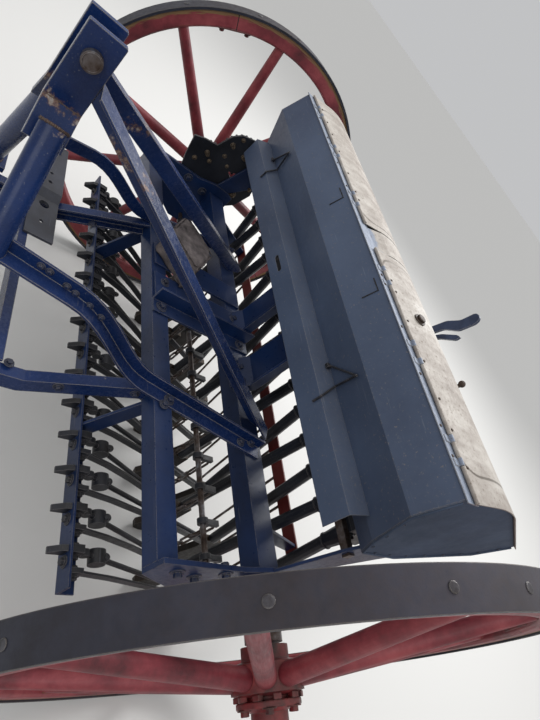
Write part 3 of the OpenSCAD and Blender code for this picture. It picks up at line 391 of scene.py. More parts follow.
# Stub axles, pins, shafts and chains are forged steel kept greasy: brown where the oil has
# dried, and grey and shining where something turns or rubs
steel, tree, shader, place = start_material("handled bare steel")
mottle = add(tree, "TexNoise", {"Vector": place, "Scale": 1000 / 35, "Detail": 7.0,
                                "Roughness": 0.65})
steel_colour = add(tree, "ValToRGB", {0: mottle.outputs[0]}, stops=[
    (0.30, srgb("#30251f")), (0.45, srgb("#4c3f38")), (0.60, srgb("#6a6463")),
    (0.74, srgb("#90949b"))])
tree.links.new(steel_colour.outputs[0], shader.inputs["Base Color"])
polish = add(tree, "MapRange", {"Value": mottle.outputs[0], "From Min": 0.35,
                                "From Max": 0.7, "To Min": 0.55, "To Max": 0.28})
tree.links.new(polish.outputs[0], shader.inputs["Roughness"])
shader.inputs["Metallic"].default_value = 0.7
rounded = add(tree, "Bevel", {"Radius": 0.0015}, samples=4)
bump = add(tree, "Bump", {"Height": mottle.outputs[0], "Strength": 0.25,
                          "Distance": 0.0008, "Normal": rounded.outputs[0]})
tree.links.new(bump.outputs[0], shader.inputs["Normal"])
finish(steel, "stub_axles")

# An iron clip inside the rim clasps each felloe joint, and low round heads in threes show where
# the tyre is bolted on
track_half = 886
axle_height = 625.79
camber = math.radians(3.5)
hub_middle = 0.052
hub_half = 0.060
hub_nut_circle = 0.064
stud_circle = 0.0585
tyre_bolt_steps = (-22, -7, 16)
clip_size = (0.034, 0.13, 0.004)
clip_nut_spread = 4.6


def wheel_place(side):
    """A wheel's own frame: X outwards along its axle, Z up the spokes, origin in its middle."""
    flip = Matrix.Scale(side, 4, (1, 0, 0))
    return (Matrix.Translation(at(side * track_half, 0, axle_height))
            @ Matrix.Rotation(side * camber, 4, "Y") @ flip)


def mark_out(radius, angle_deg, x=0.0):
    """A place on a wheel at an angle from the rear, and the way out from the axle there."""
    angle = math.radians(angle_deg)
    out = Vector((0, math.cos(angle), math.sin(angle)))
    return out * radius + Vector((x, 0, 0)), out


def bevel_all(shape, made, offset):
    """Rounds every edge of a primitive that has just been made."""
    edges = list({edge for vert in made["verts"] for edge in vert.link_edges})
    bmesh.ops.bevel(shape, geom=edges, affect="EDGES", offset=offset, segments=2, profile=0.5,
                    material=-1)


def add_disc(shape, place, axis, radius, depth, offset, segments, turned=0.0):
    """A disc or square block with rounded rims, standing on a place and rising along an axis."""
    lift = stand(place, axis) @ Matrix.Rotation(turned, 4, "Z")
    made = bmesh.ops.create_cone(
        shape, cap_ends=True, segments=segments, radius1=radius, radius2=radius, depth=depth,
        matrix=lift @ Matrix.Translation((0, 0, depth / 2)))
    bevel_all(shape, made, offset)


for side, body in ((1, "left_wheel"), (-1, "right_wheel")):
    lift = wheel_place(side)
    turn = lift.to_3x3()
    outwards = turn @ Vector((1, 0, 0))
    bolts = bmesh.new()
    clips = bmesh.new()
    hub = bmesh.new()
    for k in range(5):
        joint_deg = first_joint_deg + k * joint_step_deg
        for step in tyre_bolt_steps:
            foot, out = mark_out(wheel_radius - 0.0006, joint_deg + step)
            add_disc(bolts, lift @ foot, turn @ out, radius=0.0088, depth=0.0022, offset=0.0009,
                     segments=12)
        # A bent strap clasps each felloe joint from inside, held by two nuts
        middle, out = mark_out(felloe_inside - 0.0015, joint_deg)
        across = out.cross(Vector((1, 0, 0)))
        lay = (lift @ Matrix.Translation(middle)
               @ Matrix((Vector((1, 0, 0)), across, out)).transposed().to_4x4())
        plate = bmesh.ops.create_cube(clips, size=1, matrix=lay @ Matrix.Diagonal((*clip_size, 1)))
        bevel_all(clips, plate, 0.001)
        for spread in (-clip_nut_spread, clip_nut_spread):
            nut, inward = mark_out(felloe_inside - 0.003, joint_deg + spread)
            add_bolt(clips, lift @ nut, turn @ -inward, 0.014)
    # Square nuts draw the two halves of the hub together between the spokes
    for k in range(10):
        foot, out = mark_out(hub_nut_circle, first_joint_deg + 36 * k, hub_middle + 0.029)
        add_disc(hub, lift @ foot, outwards, radius=0.0115, depth=0.011, offset=0.0012, segments=4,
                 turned=math.radians(36 * k))
    # The outer flange with its six studs, and the cap that closes the nose
    flange = lift @ Vector((hub_middle + hub_half - 0.020, 0, 0))
    add_disc(hub, flange, outwards, radius=0.069, depth=0.013, offset=0.003, segments=40)
    for k in range(6):
        foot, out = mark_out(stud_circle, 15 + 60 * k, hub_middle + hub_half - 0.007)
        add_bolt(hub, lift @ foot, outwards, 0.015)
    nose = lift @ Vector((hub_middle + hub_half + 0.034, 0, 0))
    add_disc(hub, nose, outwards, radius=0.0405, depth=0.006, offset=0.002, segments=36)
    add_piece(f"tyre_bolts_{body}", bolts, worn_iron, body)
    add_piece(f"felloe_clips_{body}", clips, red_iron, body)
    add_piece(f"hub_fittings_{body}", hub, red_iron, body)


# ---- Headstock ----
# Two bent plates and two tube legs take the tractor's three links. They were cut, bent and
# welded long after the drill was made, so their enamel is glossier and the welds are rough.
# Its bare colour is pale and its wear full, so its edges run light: chipped paint, and also a
# painted highlight where low sun catches the edges.
gloss_navy = enamel("glossy navy enamel", "#1a3468", "#101f40", "#cbc6ba", gloss=0.22, wear=1.0,
                    dust=0.05, patch_mm=320, chip_mm=7)
finish(gloss_navy, "clevis_plates", "mast_legs", "mast_braces", "front_cross_bar",
       "front_side_bars", "curved_channels")


def reopen(material):
    """A finished material's tree and shader, the coordinates of the part, and what feeds its
    colour, so that one more layer can go on top."""
    tree = material.node_tree
    shader = next(node for node in tree.nodes if node.type == "BSDF_PRINCIPLED")
    place = add(tree, "TexCoord").outputs["Object"]
    return tree, shader, place, shader.inputs["Base Color"].links[0].from_socket


# The torch took the paint off round the bend, and rust and splashes of it have stained it since
scorched_height = 0.999
scorched_width = 0.030
tree, shader, place, painted = reopen(gloss_navy)
height = add(tree, "SeparateXYZ", {0: place})
off = add(tree, "Math", {0: height.outputs["Z"], 1: scorched_height}, operation="SUBTRACT")
away = add(tree, "Math", {0: off.outputs[0]}, operation="ABSOLUTE")
near = add(tree, "MapRange", {"Value": away.outputs[0], "From Min": scorched_width,
                              "From Max": 0.0, "To Max": 0.22})
scorch = add(tree, "TexNoise", {"Vector": place, "Scale": 1000 / 22, "Detail": 8.0,
                                "Roughness": 0.72})
burnt = add(tree, "Math", {0: near.outputs[0], 1: scorch.outputs[0]}, operation="ADD")
rust = add(tree, "ValToRGB", {0: scorch.outputs[0]}, stops=[
    (0.40, srgb("#3b2a24")), (0.55, srgb("#7a5a44")), (0.66, srgb("#a9a29b"))])
stain = add(tree, "MapRange", {"Value": burnt.outputs[0], "From Min": 0.66,
                               "From Max": 0.76, "To Max": 0.9})
stained = add(tree, "Mix", {0: stain.outputs[0], 6: painted, 7: rust.outputs[0]}, data_type="RGBA")
tree.links.new(stained.outputs[2], shader.inputs["Base Color"])

# Bare weld metal, browned by rust between its ripples
weld_metal = enamel("rusted weld metal", "#5b4a44", "#3a2f2e", "#a08d7a", gloss=0.5, wear=1.0,
                    dust=0.4, patch_mm=20, chip_mm=4, dirt="#7a5b45", metal=0.35)


def add_weld(shape, path, radius, seed):
    """A bead laid as overlapping ripples along a path of points."""
    chance = random.Random(seed)
    for start, end in zip(path, path[1:]):
        run = end - start
        count = max(1, round(run.length / (0.8 * radius)))
        for k in range(count):
            swell = radius * chance.uniform(0.8, 1.15)
            spot = start + run * (k + 0.5) / count
            bmesh.ops.create_icosphere(shape, subdivisions=1, radius=swell,
                                       matrix=Matrix.Translation(spot))


# A bead runs across each plate where it bends, round the cut top of each leg and round its foot
clevis_face = 40
bend_height = 1001
plate_ends = (-784, -710)
mast_y = -747
leg_lean = math.radians(32.8)
leg_top = (67.5, 1010)
leg_foot = (366.7, 547)
leg_radius = 0.027
foot_oval = (0.0333, 0.0280)
welds = bmesh.new()
for side in (-1, 1):
    bend = [at(side * (clevis_face - 1), y, bend_height) for y in plate_ends]
    add_weld(welds, bend, radius=0.0024, seed=3 + side)
    down = Vector((side * math.sin(leg_lean), 0, -math.cos(leg_lean)))
    outward = Vector((side * math.cos(leg_lean), 0, math.sin(leg_lean)))
    crown = at(side * leg_top[0], mast_y, leg_top[1]) + down * 0.037
    ring = [crown + leg_radius * (outward * math.cos(angle) + Vector((0, 1, 0)) * math.sin(angle))
            for angle in map(math.radians, range(-90, 91, 15))]
    add_weld(welds, ring, radius=0.0038, seed=7 + side)
    foot = at(side * leg_foot[0], mast_y, leg_foot[1])
    ring = [foot + Vector((foot_oval[0] * math.cos(angle), foot_oval[1] * math.sin(angle), 0))
            for angle in map(math.radians, range(0, 361, 20))]
    add_weld(welds, ring, radius=0.003, seed=11 + side)
add_piece("headstock_welds", welds, weld_metal, "frame", smooth=True)


def add_ring(shape, middle, axis, radius, wire, steps=24, sides=8):
    """A closed ring of round wire, spun from one circle."""
    lift = stand(middle, axis)
    start = bmesh.ops.create_circle(
        shape, cap_ends=False, segments=sides, radius=wire,
        matrix=lift @ Matrix.Translation((radius, 0, 0)) @ Matrix.Rotation(math.radians(90), 4, "X"))
    edges = list({edge for vert in start["verts"] for edge in vert.link_edges})
    bmesh.ops.spin(shape, geom=edges, cent=middle, axis=axis, angle=math.tau, steps=steps,
                   use_merge=True)


finish(steel, "top_link_pin", "lower_hitch_pins")

# A linchpin with its spring ring goes through each pin's tail
# Columns: X, Y and Z in millimetres, and the radius of the pin that it holds
linchpins = [(-49, -748, 1106, 12.5), (492, -747, 500, 14), (-492, -747, 500, 14)]
linchpin_radius = 0.0022
shape = bmesh.new()
for x, y, z, pin_radius in linchpins:
    middle = at(x, y, z)
    bmesh.ops.create_cone(
        shape, cap_ends=True, segments=12, radius1=linchpin_radius, radius2=linchpin_radius,
        depth=(2 * pin_radius + 18) / 1000, matrix=Matrix.Translation(middle))
    above = Vector((0, 0, (pin_radius + 9) / 1000))
    add_ring(shape, middle + above, (0, 1, 0), radius=0.009, wire=0.0018)
# A turned ring stands round the top pin's head
add_ring(shape, at(52, -748, 1106), (1, 0, 0), radius=0.0165, wire=0.0016)
add_piece("linchpins", shape, steel, "frame", smooth=True)

# Bolts in pairs down the bent channels, through the side bars and the braces' feet
# Columns: X, Y and Z in millimetres, which way the head faces, size over flats
hitch_bolts = [
    (233, -657, 784, (0.97, -0.23, 0), 9), (237, -639, 784, (0.97, -0.23, 0), 9),
    (247, -598, 777, (0.97, -0.23, 0), 9), (252, -577, 773, (0.97, -0.23, 0), 9),
    (260, -540, 765, (0.97, -0.23, 0), 9), (268, -507, 755, (0.97, -0.23, 0), 9),
    (344, -262, 663, (0, 0, 1), 15), (362, -278, 663, (0, 0, 1), 13),
    (388, 10, 663, (0, 0, 1), 15), (398, -30, 663, (0, 0, 1), 13),
    (-344, -262, 663, (0, 0, 1), 15), (-388, 10, 663, (0, 0, 1), 15),
    (325, -490, 552, (1, 0, 0), 13), (325, -330, 620, (1, 0, 0), 13),
    (-295, -440, 553, (0, -0.43, 0.9), 12), (-295, -600, 538, (0, 0, 1), 12),
    (295, -600, 538, (0, 0, 1), 12),
]
shape = bmesh.new()
for x, y, z, axis, across in hitch_bolts:
    add_bolt(shape, at(x, y, z), axis, across / 1000)
add_piece("hitch_bolts", shape, bolt_steel, "frame")

# Drawbar plate: hot-rolled flat left in its dark mill scale, rubbed grey round its holes
scale_grey = enamel("mill scale plate", "#4a4e5a", "#33353c", "#8d9097", gloss=0.42, wear=0.9,
                    dust=0.35, patch_mm=90, chip_mm=12, dirt="#6f6a62", metal=0.35)
finish(scale_grey, "drawbar_plate")


# ---- Coulter gang ----
# Fifteen drag coulters hang from an angle iron: each has a round lever with its two weights, a
# flat lever beside it, and a cast boot. All are forge black, greasy and scuffed.
black = enamel("black forge enamel", "#282c36", "#13151b", "#8b8c92", gloss=0.34, wear=0.85,
               patch_mm=110, chip_mm=8)
finish(black, "lever_brackets", "coulter_levers", "lift_arms")
finish(navy, "coulter_bar", "bar_hangers")
finish(steel, "lift_shaft", "lift_chains")

# The boots run in the ground, so they are dull, with brown soil on whatever faces up
soil_black = enamel("soil-rubbed cast boots", "#2a2726", "#1a1716", "#8a857c", gloss=0.5, wear=1.0,
                    dust=0.6, patch_mm=70, chip_mm=12, dirt="#5f4c3b", metal=0.2)
finish(soil_black, "coulter_boots")

row_count = 15
row_pitch = 95
rows = [(i - (row_count - 1) / 2) * row_pitch for i in range(row_count)]
bar_y = -376
pivot_y = bar_y + 24
bolt_height = 424
# Columns: the middle of a bracket's ear, across from its row, and half its width
ears = [(-20, 9), (27, 6)]
shape = bmesh.new()
for x in rows:
    for ear, half in ears:
        add_bolt(shape, at(x + ear + half, pivot_y, bolt_height), (1, 0, 0), 0.013)
        add_bolt(shape, at(x + ear - half, pivot_y, bolt_height), (-1, 0, 0), 0.013)
    # The set screw of the row's weight, and the bolt that holds its bracket to the bar
    add_bolt(shape, at(x - 19, -268, 410), (0, -0.45, 0.9), 0.011)
    add_bolt(shape, at(x + 5, bar_y, bolt_height), (0, -1, 0), 0.015)
add_piece("coulter_bolts", shape, black, "frame")


# ---- Grain box ----
# A long box of folded sheet steel in slate grey enamel, with riveted ends. Hands and sacks have
# scuffed the upper panel down to the light primer.
slate = enamel("slate hopper enamel", "#56657f", "#424f67", "#9fa5ad", gloss=0.36, wear=0.8,
               dust=0.3, patch_mm=420, chip_mm=7, specks=0.23)
finish(slate, "hopper_shell", "feed_cover")
finish(navy, "hopper_brackets")
finish(black, "cover_latches")

# The end sheets face the weather, so their enamel is a little paler and has lost its shine
dull_slate = enamel("dull slate end enamel", "#5b6980", "#485568", "#9da0a5", gloss=0.62, wear=0.7,
                    dust=0.1, patch_mm=180, chip_mm=6, shine=0.1)
finish(dull_slate, "hopper_ends")

# The hasps and hooks are of plain iron, soot black with hardly any shine. The same black on a
# plate behind the sight slot is painted shade, for the dark inside of the box.
hasp_black_and_slot_shade = enamel("black hasp iron and slot shade", "#17181b", "#0c0c0e", "#5c5a58", gloss=0.5, wear=0.8,
                    dust=0.1, patch_mm=60, chip_mm=5)


def add_rivet(shape, place, axis, radius):
    """A low round rivet head."""
    lift = stand(place, axis)
    height = 0.5 * radius
    bmesh.ops.create_cone(shape, cap_ends=True, segments=12, radius1=radius, radius2=0.55 * radius,
                          depth=height, matrix=lift @ Matrix.Translation((0, 0, height / 2)))


def add_wire(name, paths, radius, material, body):
    """Round wire or a rolled hem along paths of points, made a mesh."""
    curve = bpy.data.curves.new(name, "CURVE")
    curve.dimensions = "3D"
    curve.bevel_depth = radius
    curve.bevel_resolution = 3
    curve.use_fill_caps = True
    for path in paths:
        line = curve.splines.new("POLY")
        line.points.add(len(path) - 1)
        for point, spot in zip(line.points, path):
            point.co = (*spot, 1)
    drawn = bpy.data.objects.new(name, curve)
    shape = bmesh.new()
    shape.from_mesh(drawn.to_mesh())
    drawn.to_mesh_clear()
    bpy.data.objects.remove(drawn)
    return add_piece(name, shape, material, body, smooth=True)


# Each end sheet is flanged over with a rolled hem, and riveted just inside it
box_half = 750
end_corners = [(5, 1170), (-28, 1075), (22, 950), (60, 893), (185, 893), (400, 990), (470, 1068)]
hem_inset = 4
rivet_inset = 15
rivet_step = 0.062
hems = []
shape = bmesh.new()
for side in (-1, 1):
    face = [at(side * (box_half + 1), y, z) for y, z in end_corners]
    middle = sum(face, Vector()) / len(face)
    hems.append([spot + (middle - spot).normalized() * hem_inset / 1000 for spot in face])
    inner = [spot + (middle - spot).normalized() * rivet_inset / 1000 for spot in face]
    for start, end in zip(inner, inner[1:]):
        count = max(1, round((end - start).length / rivet_step))
        for k in range(count):
            add_rivet(shape, start.lerp(end, (k + 0.5) / count), (side, 0, 0), radius=0.0042)
add_piece("box_end_rivets", shape, dull_slate, "frame")
add_wire("box_end_hems", hems, 0.003, dull_slate, "frame")

# A forged hasp is bolted on under the rear rim at each end, to hold the lid shut
hasp_x = 738
hasp_bend = [(457, 1052), (466, 1042), (467, 1028), (459, 1018), (449, 1016)]
back_wall_faces = (0, 0.76, -0.65)
hasps = []
shape = bmesh.new()
for side in (-1, 1):
    hasps.append([at(side * hasp_x, y, z) for y, z in hasp_bend])
    add_bolt(shape, at(side * hasp_x, 454.6, 1054), back_wall_faces, 0.013)
add_piece("hasp_bolts", shape, hasp_black_and_slot_shade, "frame")
add_wire("lid_hasps", hasps, 0.005, hasp_black_and_slot_shade, "frame")

# Two bent wire hooks lie against the upper panel, just under the rim
hook_top = (-1.0, 1161.4)
hook_tip = (-14.4, 1120.4)
hooks = []
for bend_x, end_x in ((-165, -210), (207, 165)):
    hooks.append([at(end_x, *hook_top), at(bend_x, *hook_top), at(bend_x + 2, *hook_tip)])
add_wire("panel_hooks", hooks, 0.0016, hasp_black_and_slot_shade, "frame")

# A black plate with a small button stands behind the cover's sight slot. It is painted shade,
# so that the slot shows dark like the shaded inside of the box.
slot_height = 912
shade_plate_size = (0.086, 0.0016, 0.026)
shape = bmesh.new()
plate = bmesh.ops.create_cube(
    shape, size=1,
    matrix=Matrix.Translation(at(-85, -29.2, slot_height)) @ Matrix.Diagonal((*shade_plate_size, 1)))
bevel_all(shape, plate, 0.0006)
add_disc(shape, at(-104, -29.8, slot_height), (0, -1, 0), radius=0.004, depth=0.003, offset=0.0008,
         segments=12)
add_piece("slot_shade_plate", shape, hasp_black_and_slot_shade, "frame")


# ---- Lids ----
# Two curved lids of galvanised sheet, left unpainted and weathered to a chalky beige, hinged on
# a narrow riveted strip along the front with its edge rolled over the hinge wire.
def weathered_sheet(name, painted_to):
    """Galvanised sheet gone chalky and freckled with rust. Ahead of painted_to, in metres along
    Y, it keeps a thin blue-grey coat whose edge is rubbed away unevenly."""
    material, tree, shader, place = start_material(name)
    cloud = add(tree, "TexNoise", {"Vector": place, "Scale": 1000 / 170, "Detail": 9.0,
                                   "Roughness": 0.68})
    run_off = add(tree, "Mapping", {"Vector": place, "Scale": (40.0, 9.0, 9.0)})
    streak = add(tree, "TexNoise", {"Vector": run_off.outputs[0], "Scale": 1.0, "Detail": 6.0})
    speck = add(tree, "TexNoise", {"Vector": place, "Scale": 1000 / 8, "Detail": 6.0,
                                   "Roughness": 0.75})
    # Chalk lies in soft clouds, drawn out by rain running down the curve
    both = add(tree, "Mix", {0: 0.3, 2: cloud.outputs[0], 3: streak.outputs[0]}, data_type="FLOAT")
    chalk = add(tree, "ValToRGB", {0: both.outputs[0]}, stops=[
        (0.32, srgb("#796f66")), (0.45, srgb("#9a9188")), (0.55, srgb("#b0a9a0")),
        (0.70, srgb("#c8c4bd"))])
    # The coat's edge wanders by a few centimetres with the clouds
    line = add(tree, "SeparateXYZ", {0: place})
    ragged = add(tree, "Math", {0: cloud.outputs[0], 1: 0.16}, operation="MULTIPLY")
    reach = add(tree, "Math", {0: line.outputs["Y"], 1: ragged.outputs[0]}, operation="ADD")
    coated = add(tree, "MapRange", {"Value": reach.outputs[0],
                                    "From Min": painted_to + 0.09,
                                    "From Max": painted_to + 0.075})
    coat = add(tree, "Mix", {0: both.outputs[0], 6: srgb("#5f6a7e"), 7: srgb("#9aa3b2")},
               data_type="RGBA")
    base = add(tree, "Mix", {0: coated.outputs[0], 6: chalk.outputs[0],
                             7: coat.outputs[2]}, data_type="RGBA")
    freckle = add(tree, "MapRange", {"Value": speck.outputs[0], "From Min": 0.57,
                                     "From Max": 0.68, "To Max": 0.75})
    rusty = add(tree, "Mix", {0: freckle.outputs[0], 6: base.outputs[2],
                              7: srgb("#5c4a3b")}, data_type="RGBA")
    # Along every edge the zinc is rubbed pale
    rounded, flatness = round_edges(tree, 0.0025)
    rubbed = add(tree, "MapRange", {"Value": flatness, "From Min": 0.99,
                                    "From Max": 0.85, "To Max": 0.6})
    surface = add(tree, "Mix", {0: rubbed.outputs[0], 6: rusty.outputs[2],
                                7: srgb("#cfccc6")}, data_type="RGBA")
    tree.links.new(surface.outputs[2], shader.inputs["Base Color"])
    matt = add(tree, "MapRange", {"Value": speck.outputs[0], "From Min": 0.3,
                                  "From Max": 0.7, "To Min": 0.55, "To Max": 0.8})
    tree.links.new(matt.outputs[0], shader.inputs["Roughness"])
    shader.inputs["Metallic"].default_value = 0.08
    # Thin sheet is never flat: shallow dents a hand wide, and the roughness of the zinc
    dents = add(tree, "TexNoise", {"Vector": place, "Scale": 1000 / 110, "Detail": 2.0,
                                   "Distortion": 0.6})
    buckled = add(tree, "Bump", {"Height": dents.outputs[0], "Strength": 0.7,
                                 "Distance": 0.006, "Normal": rounded})
    bump = add(tree, "Bump", {"Height": speck.outputs[0], "Strength": 0.4,
                              "Distance": 0.0008, "Normal": buckled.outputs[0]})
    tree.links.new(bump.outputs[0], shader.inputs["Normal"])
    return material


zinc = weathered_sheet("weathered galvanised sheet", 0.0)

# Each lid's middle is pressed up a little inside a line with round corners; the colour is drawn
# darker within a few millimetres of that line
panel_middle = (0.3865, 0.431, 0)
panel_half = Vector((0.3085, 0.319, 0))
corner_radius = 0.05
line_half = 0.003
press_height = 0.003
straight = panel_half - Vector((corner_radius, corner_radius, 0))
tree, shader, place, bare_sheet = reopen(zinc)
buckled = shader.inputs["Normal"].links[0].from_socket
mirrored = add(tree, "VectorMath", {0: place}, operation="ABSOLUTE")
plan = add(tree, "VectorMath", {0: mirrored.outputs[0], 1: (1, 1, 0)}, operation="MULTIPLY")
offset = add(tree, "VectorMath", {0: plan.outputs[0], 1: panel_middle}, operation="SUBTRACT")
offset = add(tree, "VectorMath", {0: offset.outputs[0]}, operation="ABSOLUTE")
past = add(tree, "VectorMath", {0: offset.outputs[0], 1: straight}, operation="SUBTRACT")
past = add(tree, "VectorMath", {0: past.outputs[0], 1: (0, 0, 0)}, operation="MAXIMUM")
past = add(tree, "VectorMath", {0: past.outputs[0]}, operation="LENGTH")
outside = add(tree, "Math", {0: past.outputs["Value"], 1: corner_radius}, operation="SUBTRACT")
raised = add(tree, "MapRange", {"Value": outside.outputs[0], "From Min": line_half,
                                "From Max": -line_half})
from_line = add(tree, "Math", {0: outside.outputs[0]}, operation="ABSOLUTE")
line_darkening = add(tree, "MapRange", {"Value": from_line.outputs[0], "From Min": 0.005,
                               "From Max": 0.001, "To Max": 0.5})
lined = add(tree, "Mix", {0: line_darkening.outputs[0], 6: bare_sheet, 7: srgb("#6b645b")}, data_type="RGBA")
tree.links.new(lined.outputs[2], shader.inputs["Base Color"])
pressed = add(tree, "Bump", {"Height": raised.outputs[0], "Strength": 1.0,
                             "Distance": press_height, "Normal": buckled})
tree.links.new(pressed.outputs[0], shader.inputs["Normal"])
finish(zinc, "lid_left", "lid_right")

# The hinge strip still has most of its thin blue-grey coat
strip_zinc = weathered_sheet("blue-grey coated strip", 0.135)
finish(strip_zinc, "lid_strap")

# Small iron rivets along the strip and the lids' front edges, dark and dull with rust
rivet_iron = enamel("rusted rivet iron", "#4a3a31", "#241d1a", "#7d6a5c", gloss=0.55, wear=0.8,
                    patch_mm=22, chip_mm=4)
strip_rivets = bmesh.new()
for x in (-660, -592, -470, -330, -212, -180, 160, 192, 330, 464, 592, 660):
    add_rivet(strip_rivets, at(x, 11, 1178.6), (0, 0, 1), radius=0.0042)
add_piece("strip_rivets", strip_rivets, rivet_iron, "frame")

# Columns: which side, the lid's body, and how far from the middle its front rivets stand
lid_rivets = [
    (1, "left_lid", (164, 204, 300, 420, 520, 596, 680)),
    (-1, "right_lid", (167, 207, 300, 420, 520, 596, 680)),
]
front_edge_faces = (0, -0.16, 0.99)
stud_faces = (0, -0.12, 0.99)
knob_x, knob_y = 288, 462
for side, body, places in lid_rivets:
    shape = bmesh.new()
    for x in places:
        add_rivet(shape, at(side * x, 45, 1185.3), front_edge_faces, radius=0.0038)
    if side > 0:
        # A rusted round-headed stud on its washer, beside the middle strap
        add_disc(shape, at(275, 101, 1195), stud_faces, radius=0.0175, depth=0.002, offset=0.0006,
                 segments=24)
        add_disc(shape, at(275, 101, 1197), stud_faces, radius=0.0125, depth=0.007, offset=0.003,
                 segments=20)
        # The knob is a turned iron ball on a collar, and its stem stands on a foot
        bmesh.ops.create_uvsphere(shape, u_segments=24, v_segments=14, radius=0.0108,
                                  matrix=Matrix.Translation(at(knob_x, knob_y, 1122)))
        add_disc(shape, at(knob_x, knob_y, 1077), (0, 0, 1), radius=0.009, depth=0.004,
                 offset=0.001, segments=20)
        add_disc(shape, at(knob_x, knob_y, 1104), (0, 0, 1), radius=0.0062, depth=0.010,
                 offset=0.001, segments=20)
    add_piece(f"lid_rivets_{body}", shape, rivet_iron, body)


# ---- Feed and seed tubes ----
# Cast feed cups bolted under the box drop the seed into sheet tubes with tapered mouths, all in
# worn black enamel. A rolled collar stiffens each mouth, and a strap holds each tube lower down.
finish(black, "feed_units", "seed_tubes")
finish(steel, "feed_shaft")

tube_y = 150
mouth_height = 804
strap_height = 742
cup_half = 30
shape = bmesh.new()
for x in rows:
    add_ring(shape, at(x, tube_y, mouth_height), (0, 0, 1), radius=0.0258, wire=0.003, sides=6)
    add_ring(shape, at(x, tube_y, strap_height), (0, 0, 1), radius=0.0195, wire=0.0024, steps=20,
             sides=6)
    for side in (1, -1):
        add_bolt(shape, at(x + side * cup_half, 100, 850), (side, 0, 0), 0.012)
add_piece("tube_collars", shape, black, "frame")


# ---- Rear bar ----
# A flat steel bar on two arms behind the tubes, with light spring tines bolted along it that
# drag the soil back over the seed. Its enamel is a faded brownish red, like the wheels.
red_bar_paint = enamel("faded red bar enamel", "#8a3331", "#5f2524", "#6d625a", gloss=0.42,
                       wear=0.9, dust=0.3)
finish(red_bar_paint, "rear_bar")
finish(navy, "rear_bar_arms")
finish(steel, "drag_tines")


# ---- Ballast ----
# A rough field stone laid on a flat between the beams to load the drill. Its faces are split,
# weathered to a brownish grey and pitted a few millimetres deep.
finish(navy, "ballast_tray")
stone, tree, shader, place = start_material("rough field stone")
grain = add(tree, "TexNoise", {"Vector": place, "Scale": 1000 / 30, "Detail": 10.0,
                               "Roughness": 0.7})
stone_colour = add(tree, "ValToRGB", {0: grain.outputs[0]}, stops=[
    (0.3, srgb("#3a3535")), (0.5, srgb("#645c5b")), (0.72, srgb("#847a77"))])
tree.links.new(stone_colour.outputs[0], shader.inputs["Base Color"])
shader.inputs["Roughness"].default_value = 0.88
bump = add(tree, "Bump", {"Height": grain.outputs[0], "Strength": 0.8, "Distance": 0.004})
tree.links.new(bump.outputs[0], shader.inputs["Normal"])


def merged_copy(name, flat_deg):
    """A copy of a node's loose triangles, merged, with each flat made one face again."""
    shape = bmesh.new()
    shape.from_mesh(nodes[name].data)
    bmesh.ops.remove_doubles(shape, verts=shape.verts, dist=1e-5)
    bmesh.ops.dissolve_limit(shape, angle_limit=math.radians(flat_deg), verts=shape.verts,
                             edges=shape.edges)
    return shape


# The block's edges are rounded off, and its faces cut finer and then pitted by a few millimetres
pit_depth = 0.0035
pits_per_metre = 28
shape = merged_copy("ballast_block", flat_deg=3)
bmesh.ops.bevel(shape, geom=shape.edges[:], affect="EDGES", offset=0.008, segments=3, profile=0.5,
                material=-1)
bmesh.ops.triangulate(shape, faces=shape.faces)
for longest in (0.024, 0.012, 0.006):
    long_edges = [edge for edge in shape.edges if edge.calc_length() > longest]
    bmesh.ops.subdivide_edges(shape, edges=long_edges, cuts=1)
    bmesh.ops.triangulate(shape, faces=shape.faces)
shape.normal_update()
pits = [(vert, noise.fractal(vert.co * pits_per_metre, 0.9, 2.1, 5)) for vert in shape.verts]
for vert, depth in pits:
    vert.co -= vert.normal * max(0.0, pit_depth * (depth + 0.8))
finish(stone, "ballast_block")
stone_block = add_piece("field_stone", shape, stone, "frame", smooth=True)
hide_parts("ballast_block")


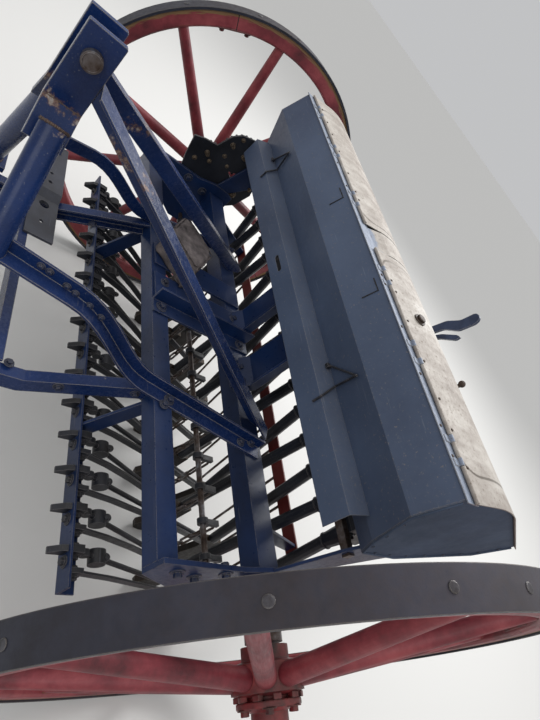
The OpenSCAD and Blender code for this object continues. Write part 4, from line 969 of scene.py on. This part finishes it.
# ---- Side drive ----
# A black plate on the right side carries the change wheels and many through bolts; fresh grease
# and rubbed bolt ends shine against it.
finish(black, "gear_plate", "drive_gears")

# Columns: Y and Z in millimetres, size over flats
plate_face = -742
drive_bolts = [
    (-127, 777, 10), (-98, 754, 9), (-67, 807, 9), (-32, 781, 8), (-73, 861, 10),
    (-8, 851, 11), (66, 702, 17), (101, 765, 13), (-55, 900, 9), (-119, 769, 8), (-65, 855, 7),
    (1, 844, 7), (76, 694, 8), (110, 757, 7), (-150, 730, 10),
]
shape = bmesh.new()
for y, z, across in drive_bolts:
    add_bolt(shape, at(plate_face, y, z), (1, 0, 0), across / 1000)
bright_bolt = enamel("rubbed bolt ends", "#6b5a48", "#2c2b2f", "#b9a68a", gloss=0.34, wear=1.0,
                     dust=0.1, patch_mm=12, chip_mm=5, dirt="#6f6a62", metal=0.5)
add_piece("drive_bolts", shape, bright_bolt, "frame")


# ---- Hand levers ----
# A flat forged lever with its squeeze catch, standing behind the box. Its blue-grey enamel is
# rubbed through along the edges and on the round tip, where hands have polished it.
hand_worn = enamel("hand-worn lever enamel", "#3c4a68", "#28334b", "#c4c7cb", gloss=0.32, wear=1.0,
                   dust=0.1, patch_mm=50, chip_mm=14)

# The tip's facets, which run through the flat's thickness, are rounded into one curve, and
# then every rim is eased
flat_thickness = 0.010
slack = 0.0001
shape = merged_copy("control_levers", flat_deg=1)
corners = [edge for edge in shape.edges
           if abs(edge.verts[0].co.y - edge.verts[1].co.y) > flat_thickness - slack
           and edge.calc_length() < flat_thickness + slack
           and 0.15 < edge.calc_face_angle(0) < 1.3]
bmesh.ops.bevel(shape, geom=corners, affect="EDGES", offset=0.011, segments=5, profile=0.5,
                material=-1, clamp_overlap=True)
rims = [edge for edge in shape.edges if edge.calc_face_angle(0) > 1.4]
bmesh.ops.bevel(shape, geom=rims, affect="EDGES", offset=0.0016, segments=2, profile=0.5,
                material=-1, clamp_overlap=True)
finish(hand_worn, "control_levers")
lever = add_piece("hand_lever", shape, hand_worn, "frame")
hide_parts("control_levers")
